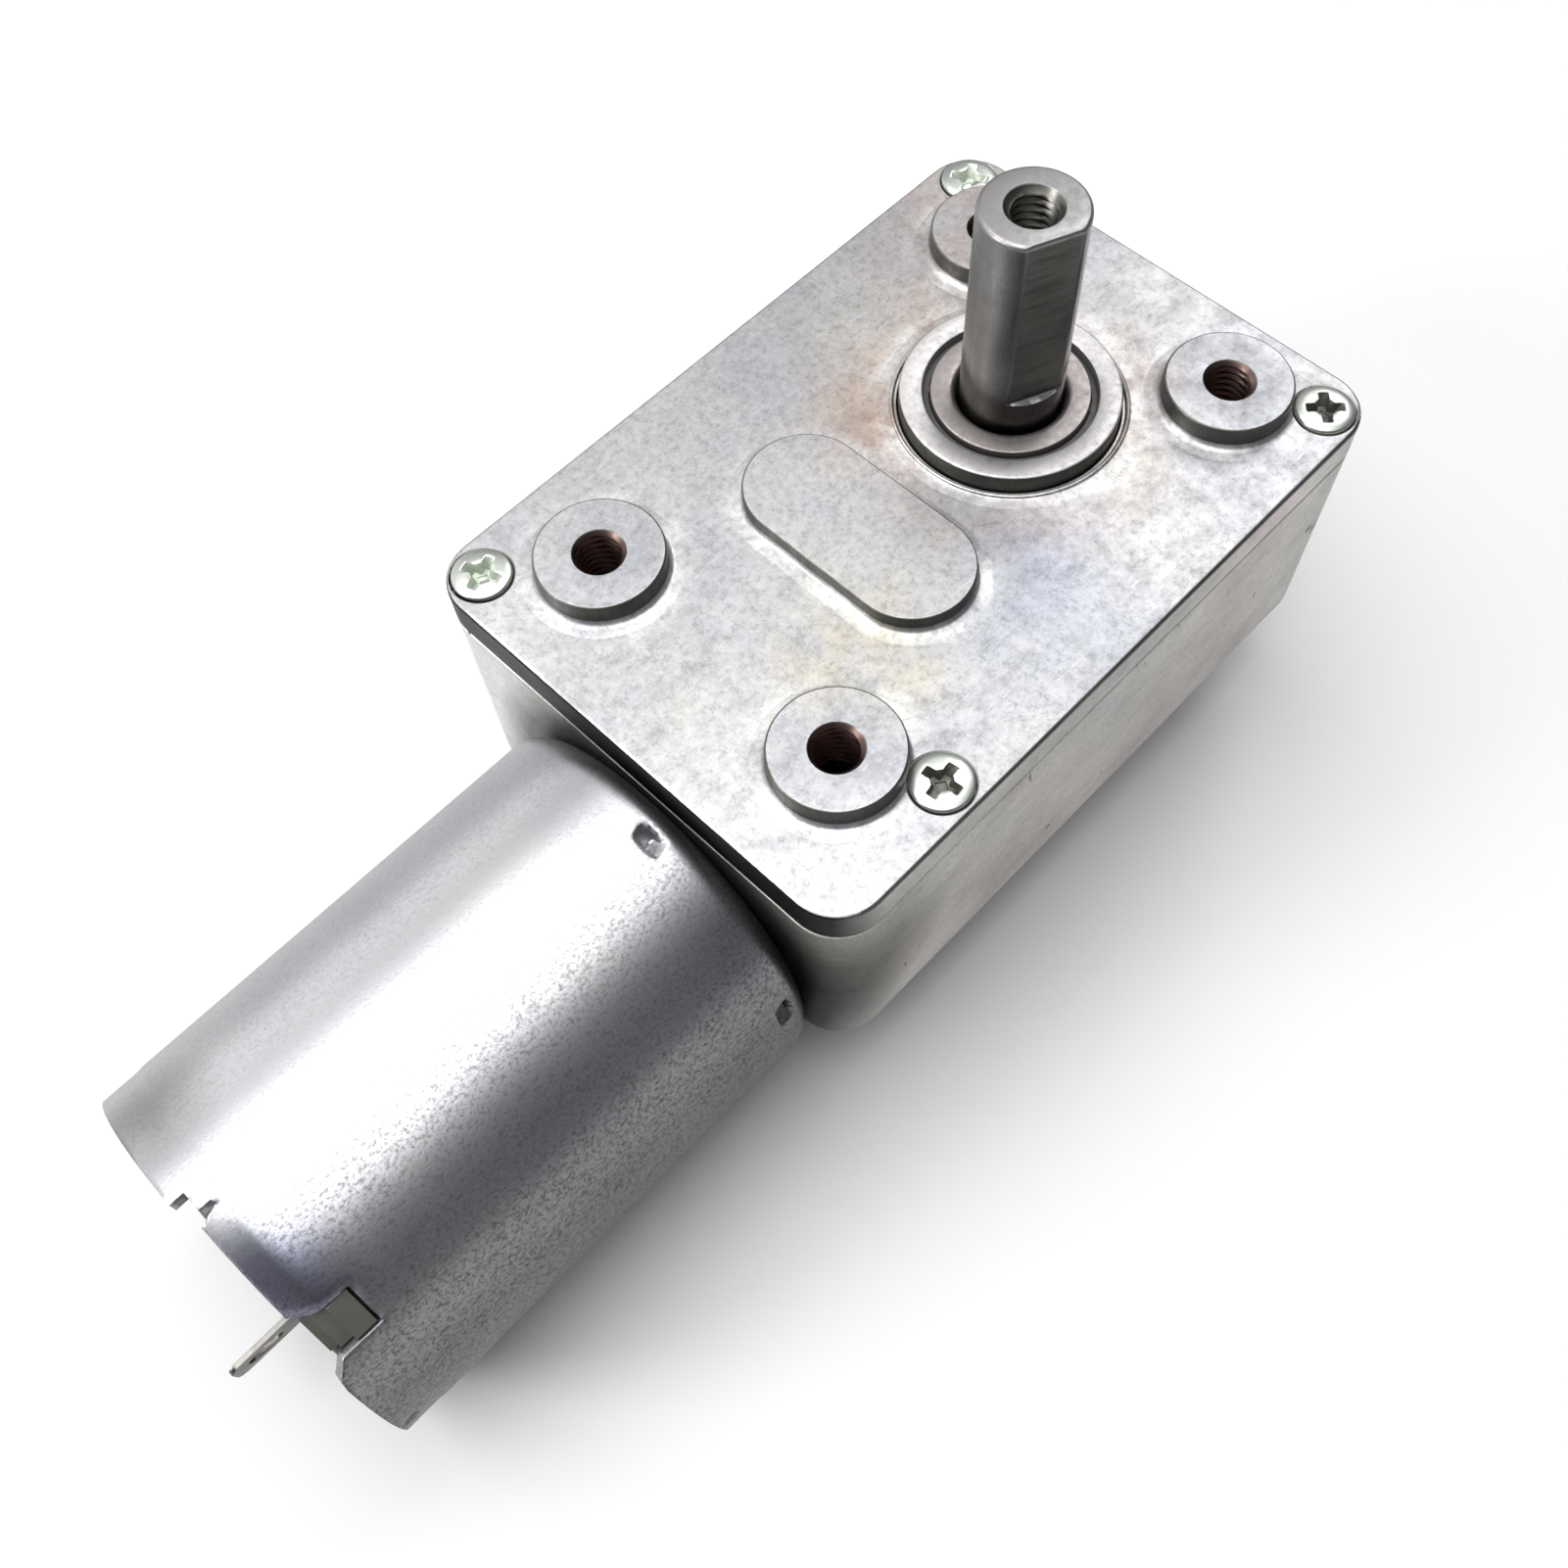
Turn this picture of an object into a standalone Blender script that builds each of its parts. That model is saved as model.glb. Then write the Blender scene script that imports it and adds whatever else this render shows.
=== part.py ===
"""Geared DC motor: a worm and spur reduction in a die-cast box, driven by a small can motor.

Every length below is in millimetres and measured from the middle of the cover's mounting
face: X runs along the box away from the motor, Z along the output shaft.  make_object()
turns them into metres in the shared frame, whose origin is under the middle of the whole
geared motor at the level of the can's lowest line.
"""

import math

import bmesh
import bpy
from mathutils import Matrix, Vector
from mathutils.geometry import tessellate_polygon

MM = 0.001

# box and cover
BOX_LENGTH = 46.0
BOX_WIDTH = 32.0
BOX_DEPTH = 18.0
CORNER = 3.0
COVER_THICK = 2.5
WALL = 2.5
FLOOR_TOP = -16.8
SEAM = 0.2
GAP = 0.25
EDGE_ROUND = 0.3

# mounting bosses: an 18 x 33 pattern of M3 holes
BOSS_PATTERN_X = 33.0
BOSS_PATTERN_Y = 18.0
BOSS_SHIFT_X = 0.75
BOSS_RADIUS = 3.75
BOSS_HEIGHT = 1.5
M3_TAP_RADIUS = 1.25

# cover screws, whose places are not symmetrical on the real cover
COVER_SCREWS = ((-20.7, 13.65), (-12.95, -13.8), (20.35, -13.8), (20.7, 13.75))
SCREW_HEAD_RADIUS = 1.75
SCREW_HEAD_TOP = 0.3
SCREW_HEAD_UNDER = -0.8
SCREW_SHANK_RADIUS = 0.85
SCREW_TIP = -9.0
POST_RADIUS = 2.3

# raised pad over the two arbor sockets
PAD_X = -4.5
PAD_HALF_SPAN = 4.0
PAD_RADIUS = 3.65
PAD_HEIGHT = 1.2

# output shaft and its bearing
OUTPUT_X = 8.5
SHAFT_RADIUS = 3.0
SHAFT_TOP = 14.8
SHAFT_BOTTOM = -16.4
FLAT_DEPTH = 0.5
FLAT_BOTTOM = 3.2
FLAT_TURN = -0.42
SHAFT_HOLE_DEPTH = 9.0
BEARING_RADIUS = 6.5
BEARING_TOP = 1.2
BEARING_HEIGHT = 5.0
BALL_RADIUS = 0.8
BALL_PITCH = 4.9
BALL_COUNT = 8

# motor
MOTOR_Y = -2.2
MOTOR_Z = -13.6
CAN_RADIUS = 12.0
CAN_WALL = 0.9
CAN_LENGTH = 30.7
TAB_ANGLE = 113.3
# turn from the tab in degrees, half width and depth of each notch in the can's rear rim
CAN_NOTCHES = ((20.5, 1.15, 0.85), (-21.95, 1.45, 3.4), (200.5, 1.15, 0.85), (158.05, 1.45, 3.4))
TERMINAL_ANGLE = 109.2
TERMINAL_UP = 6.7
TERMINAL_SIDE = 3.45
TERMINAL_END = -57.5
ROTOR_SHAFT_RADIUS = 1.0
ROTOR_SHAFT_FRONT = 1.6

# gearing: two-start worm and 20-tooth wheel, 12:29 and 10:24 spur stages
WORM_STARTS = 2
WORM_MODULE = 0.5
WORM_PITCH_RADIUS = 2.4
WHEEL_TEETH = 20
PINION_1_TEETH = 12
GEAR_2_TEETH = 29
STAGE_2_MODULE = 0.5
PINION_2_TEETH = 10
OUTPUT_TEETH = 24
STAGE_3_MODULE = 0.8
BACKLASH = 0.09
ARBOR_RADIUS = 1.2
ARBOR_1_X = -4.8

HALF_X = BOX_LENGTH / 2
HALF_Y = BOX_WIDTH / 2
CAN_FRONT = -HALF_X - GAP
CAN_REAR = CAN_FRONT - CAN_LENGTH
CENTRE_X = (HALF_X + TERMINAL_END) / 2
GROUND_Z = MOTOR_Z - CAN_RADIUS
OUTPUT_AXIS = (OUTPUT_X, 0.0, 0.0)
MOTOR_AXIS = (0.0, MOTOR_Y, MOTOR_Z)
WHEEL_RADIUS = WORM_MODULE * WHEEL_TEETH / 2
WORM_LEAD = WORM_STARTS * WORM_MODULE * math.pi
ARBOR_1_Y = MOTOR_Y + WORM_PITCH_RADIUS + WHEEL_RADIUS
ARBOR_1 = (ARBOR_1_X, ARBOR_1_Y, 0.0)
STAGE_2_CENTRES = STAGE_2_MODULE * (PINION_1_TEETH + GEAR_2_TEETH) / 2
STAGE_3_CENTRES = STAGE_3_MODULE * (PINION_2_TEETH + OUTPUT_TEETH) / 2

# name: (colour, roughness, metallic)
MATERIALS = {
    "die_cast": ((0.62, 0.62, 0.63), 0.5, 0.8),
    "plated_steel": ((0.70, 0.70, 0.71), 0.35, 0.9),
    "zinc_screw": ((0.75, 0.76, 0.72), 0.3, 0.9),
    "shaft_steel": ((0.42, 0.42, 0.43), 0.3, 0.9),
    "bearing_steel": ((0.60, 0.58, 0.57), 0.2, 0.95),
    "gear_steel": ((0.45, 0.45, 0.46), 0.4, 0.9),
    "brass": ((0.72, 0.55, 0.25), 0.3, 0.9),
    "bronze": ((0.50, 0.34, 0.18), 0.5, 0.8),
    "ferrite": ((0.10, 0.10, 0.11), 0.8, 0.1),
    "lamination": ((0.38, 0.38, 0.40), 0.5, 0.8),
    "copper": ((0.72, 0.36, 0.18), 0.35, 0.8),
    "carbon": ((0.05, 0.05, 0.05), 0.7, 0.2),
    "olive_plastic": ((0.10, 0.10, 0.08), 0.6, 0.0),
    "pale_plastic": ((0.75, 0.73, 0.66), 0.6, 0.0),
}


# ---------------------------------------------------------------- plumbing

def clear_scene():
    for obj in list(bpy.data.objects):
        bpy.data.objects.remove(obj, do_unlink=True)


def make_material(name):
    colour, roughness, metallic = MATERIALS[name]
    material = bpy.data.materials.new(name)
    material.use_nodes = True
    shader = material.node_tree.nodes["Principled BSDF"]
    shader.inputs["Base Color"].default_value = (*colour, 1.0)
    shader.inputs["Roughness"].default_value = roughness
    shader.inputs["Metallic"].default_value = metallic
    return material


def face_outwards(mesh):
    work = bmesh.new()
    work.from_mesh(mesh)
    bmesh.ops.recalc_face_normals(work, faces=work.faces)
    work.to_mesh(mesh)
    work.free()


def make_object(name, shape, at=(0.0, 0.0, 0.0), material=None, smooth=True):
    """An object from (points, faces) in millimetres about the point at."""
    points, faces = shape
    mesh = bpy.data.meshes.new(name)
    mesh.from_pydata([[c * MM for c in p] for p in points], [], faces)
    face_outwards(mesh)
    obj = bpy.data.objects.new(name, mesh)
    bpy.context.scene.collection.objects.link(obj)
    obj.location = ((at[0] - CENTRE_X) * MM, at[1] * MM, (at[2] - GROUND_Z) * MM)
    if material:
        mesh.materials.append(make_material(material))
    mesh.polygons.foreach_set("use_smooth", [smooth] * len(mesh.polygons))
    if smooth:
        mesh.set_sharp_from_angle(angle=math.radians(35))
    return obj


def make_tool(name, shape, at=(0.0, 0.0, 0.0)):
    """A shape that only adds to or cuts another, and is never drawn."""
    obj = make_object(name, shape, at, smooth=False)
    obj.hide_render = True
    obj.display_type = "WIRE"
    return obj


def combine(obj, tool, operation):
    modifier = obj.modifiers.new(operation.lower(), "BOOLEAN")
    modifier.operation = operation
    modifier.solver = "EXACT"
    modifier.object = tool
    return obj


def cut(obj, tool):
    return combine(obj, tool, "DIFFERENCE")


def add(obj, tool):
    return combine(obj, tool, "UNION")


def keep(obj, tool):
    return combine(obj, tool, "INTERSECT")


# ---------------------------------------------------------------- outlines

def circle(radius, segments=32, centre=(0.0, 0.0), start=0.0):
    step = 2 * math.pi / segments
    return [
        (centre[0] + radius * math.cos(start + i * step),
         centre[1] + radius * math.sin(start + i * step))
        for i in range(segments)
    ]


def d_outline(radius, flat, segments=26):
    """A circle cut flat on its -Y side."""
    reach = math.asin((radius - flat) / radius)
    first = -reach
    last = math.pi + reach
    return [
        (radius * math.cos(first + (last - first) * i / segments),
         radius * math.sin(first + (last - first) * i / segments))
        for i in range(segments + 1)
    ]


def rounded_box(half_x, half_y, radius, segments=6, centre=(0.0, 0.0)):
    outline = []
    corners = ((1, 1, 0), (-1, 1, 90), (-1, -1, 180), (1, -1, 270))
    for side_x, side_y, start in corners:
        for i in range(segments + 1):
            angle = math.radians(start + 90 * i / segments)
            x = side_x * (half_x - radius) + radius * math.cos(angle)
            y = side_y * (half_y - radius) + radius * math.sin(angle)
            outline.append((centre[0] + x, centre[1] + y))
    return outline


def slot_outline(half_span, radius, centre=(0.0, 0.0), segments=12):
    """Two half circles at +/- half_span along Y and the straight sides between them."""
    outline = []
    for side, start in ((1, 0), (-1, 180)):
        for i in range(segments + 1):
            angle = math.radians(start + 180 * i / segments)
            x = centre[0] + radius * math.cos(angle)
            y = centre[1] + side * half_span + radius * math.sin(angle)
            outline.append((x, y))
    return outline


def involute(angle):
    return math.tan(angle) - angle


def gear_outline(module, teeth, phase, addendum=0.85, dedendum=1.15):
    """Involute spur teeth at 20 degrees, thinned by the backlash, one of them at phase."""
    pitch = module * teeth / 2
    base = pitch * math.cos(math.radians(20))
    root = pitch - dedendum * module
    tip = pitch + addendum * module
    half_pitch = math.pi / (2 * teeth) - BACKLASH / pitch
    start = max(base, root)
    radii = [root, start + (pitch - start) * 0.4, (pitch + tip) / 2, tip]
    flank = []
    for r in radii:
        pressure = math.acos(min(1.0, base / max(r, base)))
        half = half_pitch + involute(math.radians(20)) - involute(pressure)
        flank.append((r, half))
    outline = []
    for i in range(teeth):
        middle = phase + 2 * math.pi * i / teeth
        for r, half in flank:
            outline.append((r * math.cos(middle - half), r * math.sin(middle - half)))
        for r, half in reversed(flank):
            outline.append((r * math.cos(middle + half), r * math.sin(middle + half)))
    return outline


# ---------------------------------------------------------------- solids

def prism(outline, low, high, hole=None, twist=0.0, layers=1, insets=None):
    """An outline carried from low to high, with an optional hole, twist or edge insets."""
    rings = [outline] + ([hole] if hole else [])
    levels = insets or [(low + (high - low) * i / layers, 1.0) for i in range(layers + 1)]
    points = []
    faces = []
    for z, scale in levels:
        turn = twist * (z - (low + high) / 2)
        for ring in rings:
            for x, y in ring:
                u = x * math.cos(turn) - y * math.sin(turn)
                v = x * math.sin(turn) + y * math.cos(turn)
                points.append((u * scale, v * scale, z))
    count = sum(len(ring) for ring in rings)
    for level in range(len(levels) - 1):
        start = 0
        for index, ring in enumerate(rings):
            n = len(ring)
            for i in range(n):
                a = level * count + start + i
                b = level * count + start + (i + 1) % n
                quad = (a, b, b + count, a + count)
                faces.append(quad if index == 0 else quad[::-1])
            start += n
    flat = [[Vector((x, y, 0.0)) for x, y in ring] for ring in rings]
    top = (len(levels) - 1) * count
    for a, b, c in tessellate_polygon(flat):
        p, q, r = (flat_point(rings, i) for i in (a, b, c))
        area = (q[0] - p[0]) * (r[1] - p[1]) - (q[1] - p[1]) * (r[0] - p[0])
        if area < 0:
            b, c = c, b
        faces.append((a, c, b))
        faces.append((top + a, top + b, top + c))
    return points, faces


def flat_point(rings, index):
    for ring in rings:
        if index < len(ring):
            return ring[index]
        index -= len(ring)
    return rings[0][0]


def lathe(profile, segments=24, start=0.0):
    """A closed (radius, height) loop, or a line from axis to axis, turned about Z."""
    points = []
    rows = []
    for r, z in profile:
        if r == 0.0:
            rows.append([len(points)] * segments)
            points.append((0.0, 0.0, z))
            continue
        rows.append(list(range(len(points), len(points) + segments)))
        points.extend((x, y, z) for x, y in circle(r, segments, start=start))
    closed = profile[0][0] > 0.0
    pairs = list(zip(rows, rows[1:] + rows[:1])) if closed else list(zip(rows, rows[1:]))
    faces = []
    for low, high in pairs:
        for i in range(segments):
            j = (i + 1) % segments
            corners = []
            for corner in (low[i], low[j], high[j], high[i]):
                if corner not in corners:
                    corners.append(corner)
            faces.append(tuple(corners))
    return points, faces


def cylinder(radius, low, high, segments=24):
    return lathe([(0.0, low), (radius, low), (radius, high), (0.0, high)], segments)


def drill(radius, low, high, segments=20):
    """A cylinder turned a little, so that no corner of it meets an edge of what it cuts."""
    profile = [(0.0, low), (radius, low), (radius, high), (0.0, high)]
    return lathe(profile, segments, 0.071)


def tube(inner, outer, low, high, segments=24):
    profile = [(inner, low), (outer, low), (outer, high), (inner, high)]
    return lathe(profile, segments)


def arc_block(inner, outer, low, high, middle, span, segments=14):
    """Part of a tube, span degrees wide about the direction middle."""
    outline = []
    for i in range(segments + 1):
        angle = math.radians(middle - span / 2 + span * i / segments)
        outline.append((outer * math.cos(angle), outer * math.sin(angle)))
    for i in range(segments + 1):
        angle = math.radians(middle + span / 2 - span * i / segments)
        outline.append((inner * math.cos(angle), inner * math.sin(angle)))
    return prism(outline, low, high)


def moved(shape, matrix):
    points, faces = shape
    placed = [tuple(matrix @ Vector(p)) for p in points]
    if matrix.to_3x3().determinant() < 0:
        faces = [tuple(reversed(f)) for f in faces]
    return placed, faces


def shifted(shape, x=0.0, y=0.0, z=0.0):
    return moved(shape, Matrix.Translation((x, y, z)))


def along_x(shape):
    """Turns a shape made about Z so that its Z becomes X, its X becomes Y and its Y Z."""
    points, faces = shape
    return [(z, x, y) for x, y, z in points], faces


def in_motor(shape, degrees=TAB_ANGLE):
    """From the motor's own (side, up, back) axes, up being at degrees from +Y towards +Z."""
    angle = math.radians(degrees)
    up = Vector((0.0, math.cos(angle), math.sin(angle)))
    side = Vector((0.0, -math.sin(angle), math.cos(angle)))
    points, faces = shape
    placed = [tuple(side * p[0] + up * p[1] + Vector((p[2], 0.0, 0.0))) for p in points]
    return placed, faces


# ---------------------------------------------------------------- gear phases

def meet(centre_a, reach_a, centre_b, reach_b):
    """Where two circles cross, on the right of the line from a to b."""
    a = Vector(centre_a[:2])
    b = Vector(centre_b[:2])
    line = b - a
    span = line.length
    line.normalize()
    along = (reach_a ** 2 - reach_b ** 2 + span ** 2) / (2 * span)
    off = math.sqrt(reach_a ** 2 - along ** 2)
    point = a + line * along + Vector((line.y, -line.x)) * off
    return (point.x, point.y, 0.0)


def mating_phase(phase, teeth, centre, other, other_teeth):
    """The angle of one tooth of the other gear, with a tooth of the first in its gap."""
    line = math.atan2(other[1] - centre[1], other[0] - centre[0])
    return line + math.pi + (math.pi - teeth * (phase - line)) / other_teeth


ARBOR_2 = meet(ARBOR_1, STAGE_2_CENTRES, OUTPUT_AXIS, STAGE_3_CENTRES)
PINION_1_PHASE = 0.3
GEAR_2_PHASE = mating_phase(PINION_1_PHASE, PINION_1_TEETH, ARBOR_1, ARBOR_2, GEAR_2_TEETH)
PINION_2_PHASE = 0.1
OUTPUT_PHASE = mating_phase(
    PINION_2_PHASE, PINION_2_TEETH, ARBOR_2, OUTPUT_AXIS, OUTPUT_TEETH
)


# ---------------------------------------------------------------- box

def box_levels(low, high, low_round, high_round):
    """Outline scales that round the plate's lower and upper edges a little."""
    levels = []
    if low_round:
        levels.append((low, 1 - EDGE_ROUND / HALF_Y))
        levels.append((low + EDGE_ROUND, 1.0))
    else:
        levels.append((low, 1.0))
    if high_round:
        levels.append((high - EDGE_ROUND, 1.0))
        levels.append((high - EDGE_ROUND * 0.3, 1 - EDGE_ROUND * 0.3 / HALF_Y))
        levels.append((high, 1 - EDGE_ROUND / HALF_Y))
    else:
        levels.append((high, 1.0))
    return levels


def boss_places():
    for side_x in (-1, 1):
        for side_y in (-1, 1):
            x = BOSS_SHIFT_X + side_x * BOSS_PATTERN_X / 2
            yield x, side_y * BOSS_PATTERN_Y / 2


def gearbox_cover():
    outline = rounded_box(HALF_X, HALF_Y, CORNER)
    levels = box_levels(-COVER_THICK, 0.0, False, True)
    cover = make_object("gearbox_cover", prism(outline, 0, 0, insets=levels),
                        material="die_cast")
    seat = BEARING_RADIUS + 0.2
    add(cover, make_tool("cover_bearing_ring", cylinder(8.3, -4.4, -1.0, 36), OUTPUT_AXIS))
    pad = prism(slot_outline(PAD_HALF_SPAN, PAD_RADIUS, (PAD_X, 0.0)), -1.0, PAD_HEIGHT)
    add(cover, make_tool("cover_pad", pad))
    for index, (x, y) in enumerate(boss_places()):
        boss = shifted(cylinder(BOSS_RADIUS, -1.0, BOSS_HEIGHT, 32), x, y)
        add(cover, make_tool(f"cover_boss_{index}", boss))
    for index, (x, y) in enumerate(boss_places()):
        hole = lathe([(0.0, -4.0), (M3_TAP_RADIUS, -4.0), (M3_TAP_RADIUS, 1.2),
                      (M3_TAP_RADIUS + 0.35, BOSS_HEIGHT + 0.1), (0.0, BOSS_HEIGHT + 0.1)],
                     20, 0.05)
        cut(cover, make_tool(f"cover_boss_hole_{index}", shifted(hole, x, y)))
    for index, (x, y) in enumerate(COVER_SCREWS):
        bore = lathe([(0.0, -4.0), (1.1, -4.0), (1.1, SCREW_HEAD_UNDER - 0.2),
                      (1.9, SCREW_HEAD_UNDER - 0.2), (1.9, 1.0), (0.0, 1.0)], 20, 0.05)
        cut(cover, make_tool(f"cover_screw_bore_{index}", shifted(bore, x, y)))
    lip = seat - 0.8
    bore = lathe([(0.0, -6.0), (lip, -6.0), (lip, -4.05), (seat, -4.05), (seat, 3.0),
                  (0.0, 3.0)], 40, 0.03)
    cut(cover, make_tool("cover_bearing_bore", bore, OUTPUT_AXIS))
    for name, place in (("cover_socket_1", ARBOR_1), ("cover_socket_2", ARBOR_2)):
        cut(cover, make_tool(name, drill(ARBOR_RADIUS + 0.2, -5.0, -0.4, 16), place))
    return cover


def gearbox_housing():
    outline = rounded_box(HALF_X, HALF_Y, CORNER)
    top = -COVER_THICK - SEAM
    levels = box_levels(-BOX_DEPTH, top, True, False)
    housing = make_object("gearbox_housing", prism(outline, 0, 0, insets=levels),
                          material="die_cast")
    inside = rounded_box(HALF_X - WALL, HALF_Y - WALL, 1.0, 2)
    cavity = make_tool("housing_cavity", prism(inside, FLOOR_TOP, 2.0))
    for index, (x, y) in enumerate(COVER_SCREWS):
        post = shifted(cylinder(POST_RADIUS, -30.0, 4.0, 20), x, y)
        cut(cavity, make_tool(f"housing_post_{index}", post))
    cut(cavity, make_tool("housing_bush_boss", cylinder(6.2, -30.0, -12.7, 32), OUTPUT_AXIS))
    cut(cavity, make_tool("housing_arbor_boss", cylinder(2.6, -30.0, -16.1, 20), ARBOR_1))
    cut(housing, cavity)
    for index, (x, y) in enumerate(COVER_SCREWS):
        hole = shifted(drill(SCREW_SHANK_RADIUS + 0.2, SCREW_TIP - 0.6, 2.0, 16), x, y)
        cut(housing, make_tool(f"housing_tap_{index}", hole))
    pocket = drill(4.8, -17.0, -10.0, 28)
    cut(housing, make_tool("housing_bush_pocket", pocket, OUTPUT_AXIS))
    socket = drill(ARBOR_RADIUS + 0.2, -17.4, -10.0, 16)
    cut(housing, make_tool("housing_arbor_socket", socket, ARBOR_1))
    pilot = along_x(drill(3.3, -HALF_X - 2.0, -HALF_X + WALL + 1.0, 28))
    cut(housing, make_tool("housing_pilot_hole", pilot, MOTOR_AXIS))
    for side in (-1, 1):
        hole = along_x(drill(1.35, -HALF_X - 2.0, -HALF_X + WALL + 1.0, 16))
        place = (0.0, MOTOR_Y + side * 8.5, MOTOR_Z)
        cut(housing, make_tool(f"housing_motor_hole_{side}", hole, place))
    return housing


def cross_recess(size, depth, top):
    """Two crossed wedges, as a driver leaves them."""
    half = size / 2
    bar = rounded_box(half, 0.28, 0.1, 1)
    level = [(top - depth, 0.55), (top + 0.2, 1.05)]
    return prism(bar, 0, 0, insets=level)


def cover_screws():
    for index, (x, y) in enumerate(COVER_SCREWS):
        profile = [(0.0, SCREW_TIP), (SCREW_SHANK_RADIUS, SCREW_TIP),
                   (SCREW_SHANK_RADIUS, SCREW_HEAD_UNDER),
                   (SCREW_HEAD_RADIUS, SCREW_HEAD_UNDER),
                   (SCREW_HEAD_RADIUS, SCREW_HEAD_TOP - 0.25),
                   (SCREW_HEAD_RADIUS - 0.3, SCREW_HEAD_TOP), (0.0, SCREW_HEAD_TOP)]
        place = (x, y, 0.0)
        screw = make_object(f"cover_screw_{index + 1}", lathe(profile, 20), place,
                            "zinc_screw")
        for turn in (0.0, math.pi / 2):
            spin = Matrix.Rotation(turn + 0.7 * index, 4, "Z")
            recess = moved(cross_recess(2.1, 0.7, SCREW_HEAD_TOP), spin)
            cut(screw, make_tool(f"screw_recess_{index}_{turn:.0f}", recess, place))


# ---------------------------------------------------------------- output shaft

def output_shaft():
    clip_low = -12.25
    clip_high = -11.65
    profile = [(0.0, SHAFT_BOTTOM), (SHAFT_RADIUS - 0.3, SHAFT_BOTTOM),
               (SHAFT_RADIUS, SHAFT_BOTTOM + 0.3), (SHAFT_RADIUS, clip_low),
               (2.4, clip_low), (2.4, clip_high), (SHAFT_RADIUS, clip_high),
               (SHAFT_RADIUS, SHAFT_TOP - 0.3), (SHAFT_RADIUS - 0.3, SHAFT_TOP),
               (1.75, SHAFT_TOP), (M3_TAP_RADIUS, SHAFT_TOP - 0.5),
               (M3_TAP_RADIUS, SHAFT_TOP - SHAFT_HOLE_DEPTH),
               (0.0, SHAFT_TOP - SHAFT_HOLE_DEPTH - 0.6)]
    shaft = make_object("output_shaft", lathe(profile, 36), OUTPUT_AXIS, "shaft_steel")
    depth = SHAFT_RADIUS - FLAT_DEPTH
    upper = shifted(prism(rounded_box(4, 1, 0.1, 1), FLAT_BOTTOM, SHAFT_TOP + 1),
                    y=-depth - 1)
    turned = moved(upper, Matrix.Rotation(FLAT_TURN, 4, "Z"))
    cut(shaft, make_tool("shaft_flat", turned, OUTPUT_AXIS))
    lower = shifted(prism(rounded_box(4, 1, 0.1, 1), -11.3, -4.6), y=-depth - 1)
    cut(shaft, make_tool("shaft_gear_flat", lower, OUTPUT_AXIS))
    return shaft


def output_gear():
    hole = d_outline(SHAFT_RADIUS + 0.2, FLAT_DEPTH)
    outline = gear_outline(STAGE_3_MODULE, OUTPUT_TEETH, OUTPUT_PHASE)
    gear = make_object("output_gear", prism(outline, -7.4, -4.7, hole), OUTPUT_AXIS,
                       "gear_steel")
    hub = prism(circle(5.0, 24), -11.2, -6.0, hole)
    return add(gear, make_tool("output_gear_hub", hub, OUTPUT_AXIS))


def retaining_clip():
    outline = []
    for i in range(17):
        angle = math.radians(60 + 300 * i / 16)
        outline.append((4.3 * math.cos(angle), 4.3 * math.sin(angle)))
    for i in range(17):
        angle = math.radians(360 - 300 * i / 16)
        outline.append((2.65 * math.cos(angle), 2.65 * math.sin(angle)))
    return make_object("retaining_clip", prism(outline, -12.1, -11.8), OUTPUT_AXIS,
                       "zinc_screw")


def lower_bush():
    return make_object("lower_bush", tube(3.2, 4.6, -16.7, -12.8, 24), OUTPUT_AXIS, "bronze")


def race(near, far, groove, low, high):
    """A bearing ring: near is the side with the ball groove, far the plain side."""
    middle = (low + high) / 2
    bevel = 0.25 if far > near else -0.25
    loop = [(near, low), (far - bevel, low), (far, low + 0.25), (far, high - 0.25),
            (far - bevel, high), (near, high), (near, middle + 0.8),
            (groove, middle + 0.35), (groove, middle - 0.35), (near, middle - 0.8)]
    return loop if far > near else loop[::-1]


def ball_bearing():
    low = BEARING_TOP - BEARING_HEIGHT
    middle = BEARING_TOP - BEARING_HEIGHT / 2
    outer = race(5.2, BEARING_RADIUS, BALL_PITCH + BALL_RADIUS + 0.15, low, BEARING_TOP)
    make_object("bearing_outer_ring", lathe(outer, 40), OUTPUT_AXIS, "bearing_steel")
    inner = race(4.6, SHAFT_RADIUS + 0.2, BALL_PITCH - BALL_RADIUS - 0.15, low, BEARING_TOP)
    make_object("bearing_inner_ring", lathe(inner, 32), OUTPUT_AXIS, "bearing_steel")
    cage = make_object("bearing_cage", tube(4.76, 5.04, middle - 1.2, middle + 1.2, 32),
                       OUTPUT_AXIS, "brass")
    for index in range(BALL_COUNT):
        angle = 2 * math.pi * index / BALL_COUNT
        place = (OUTPUT_X + BALL_PITCH * math.cos(angle), BALL_PITCH * math.sin(angle), middle)
        cut(cage, make_tool(f"cage_pocket_{index}", ball(BALL_RADIUS + 0.18, 5, 8), place))
        make_object(f"bearing_ball_{index + 1}", ball(BALL_RADIUS), place, "bearing_steel")


def ball(radius, rings=6, segments=10):
    profile = []
    for i in range(rings + 1):
        angle = -math.pi / 2 + math.pi * i / rings
        r = 0.0 if i in (0, rings) else radius * math.cos(angle)
        profile.append((r, radius * math.sin(angle)))
    return lathe(profile, segments)


# ---------------------------------------------------------------- gear train

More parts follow.
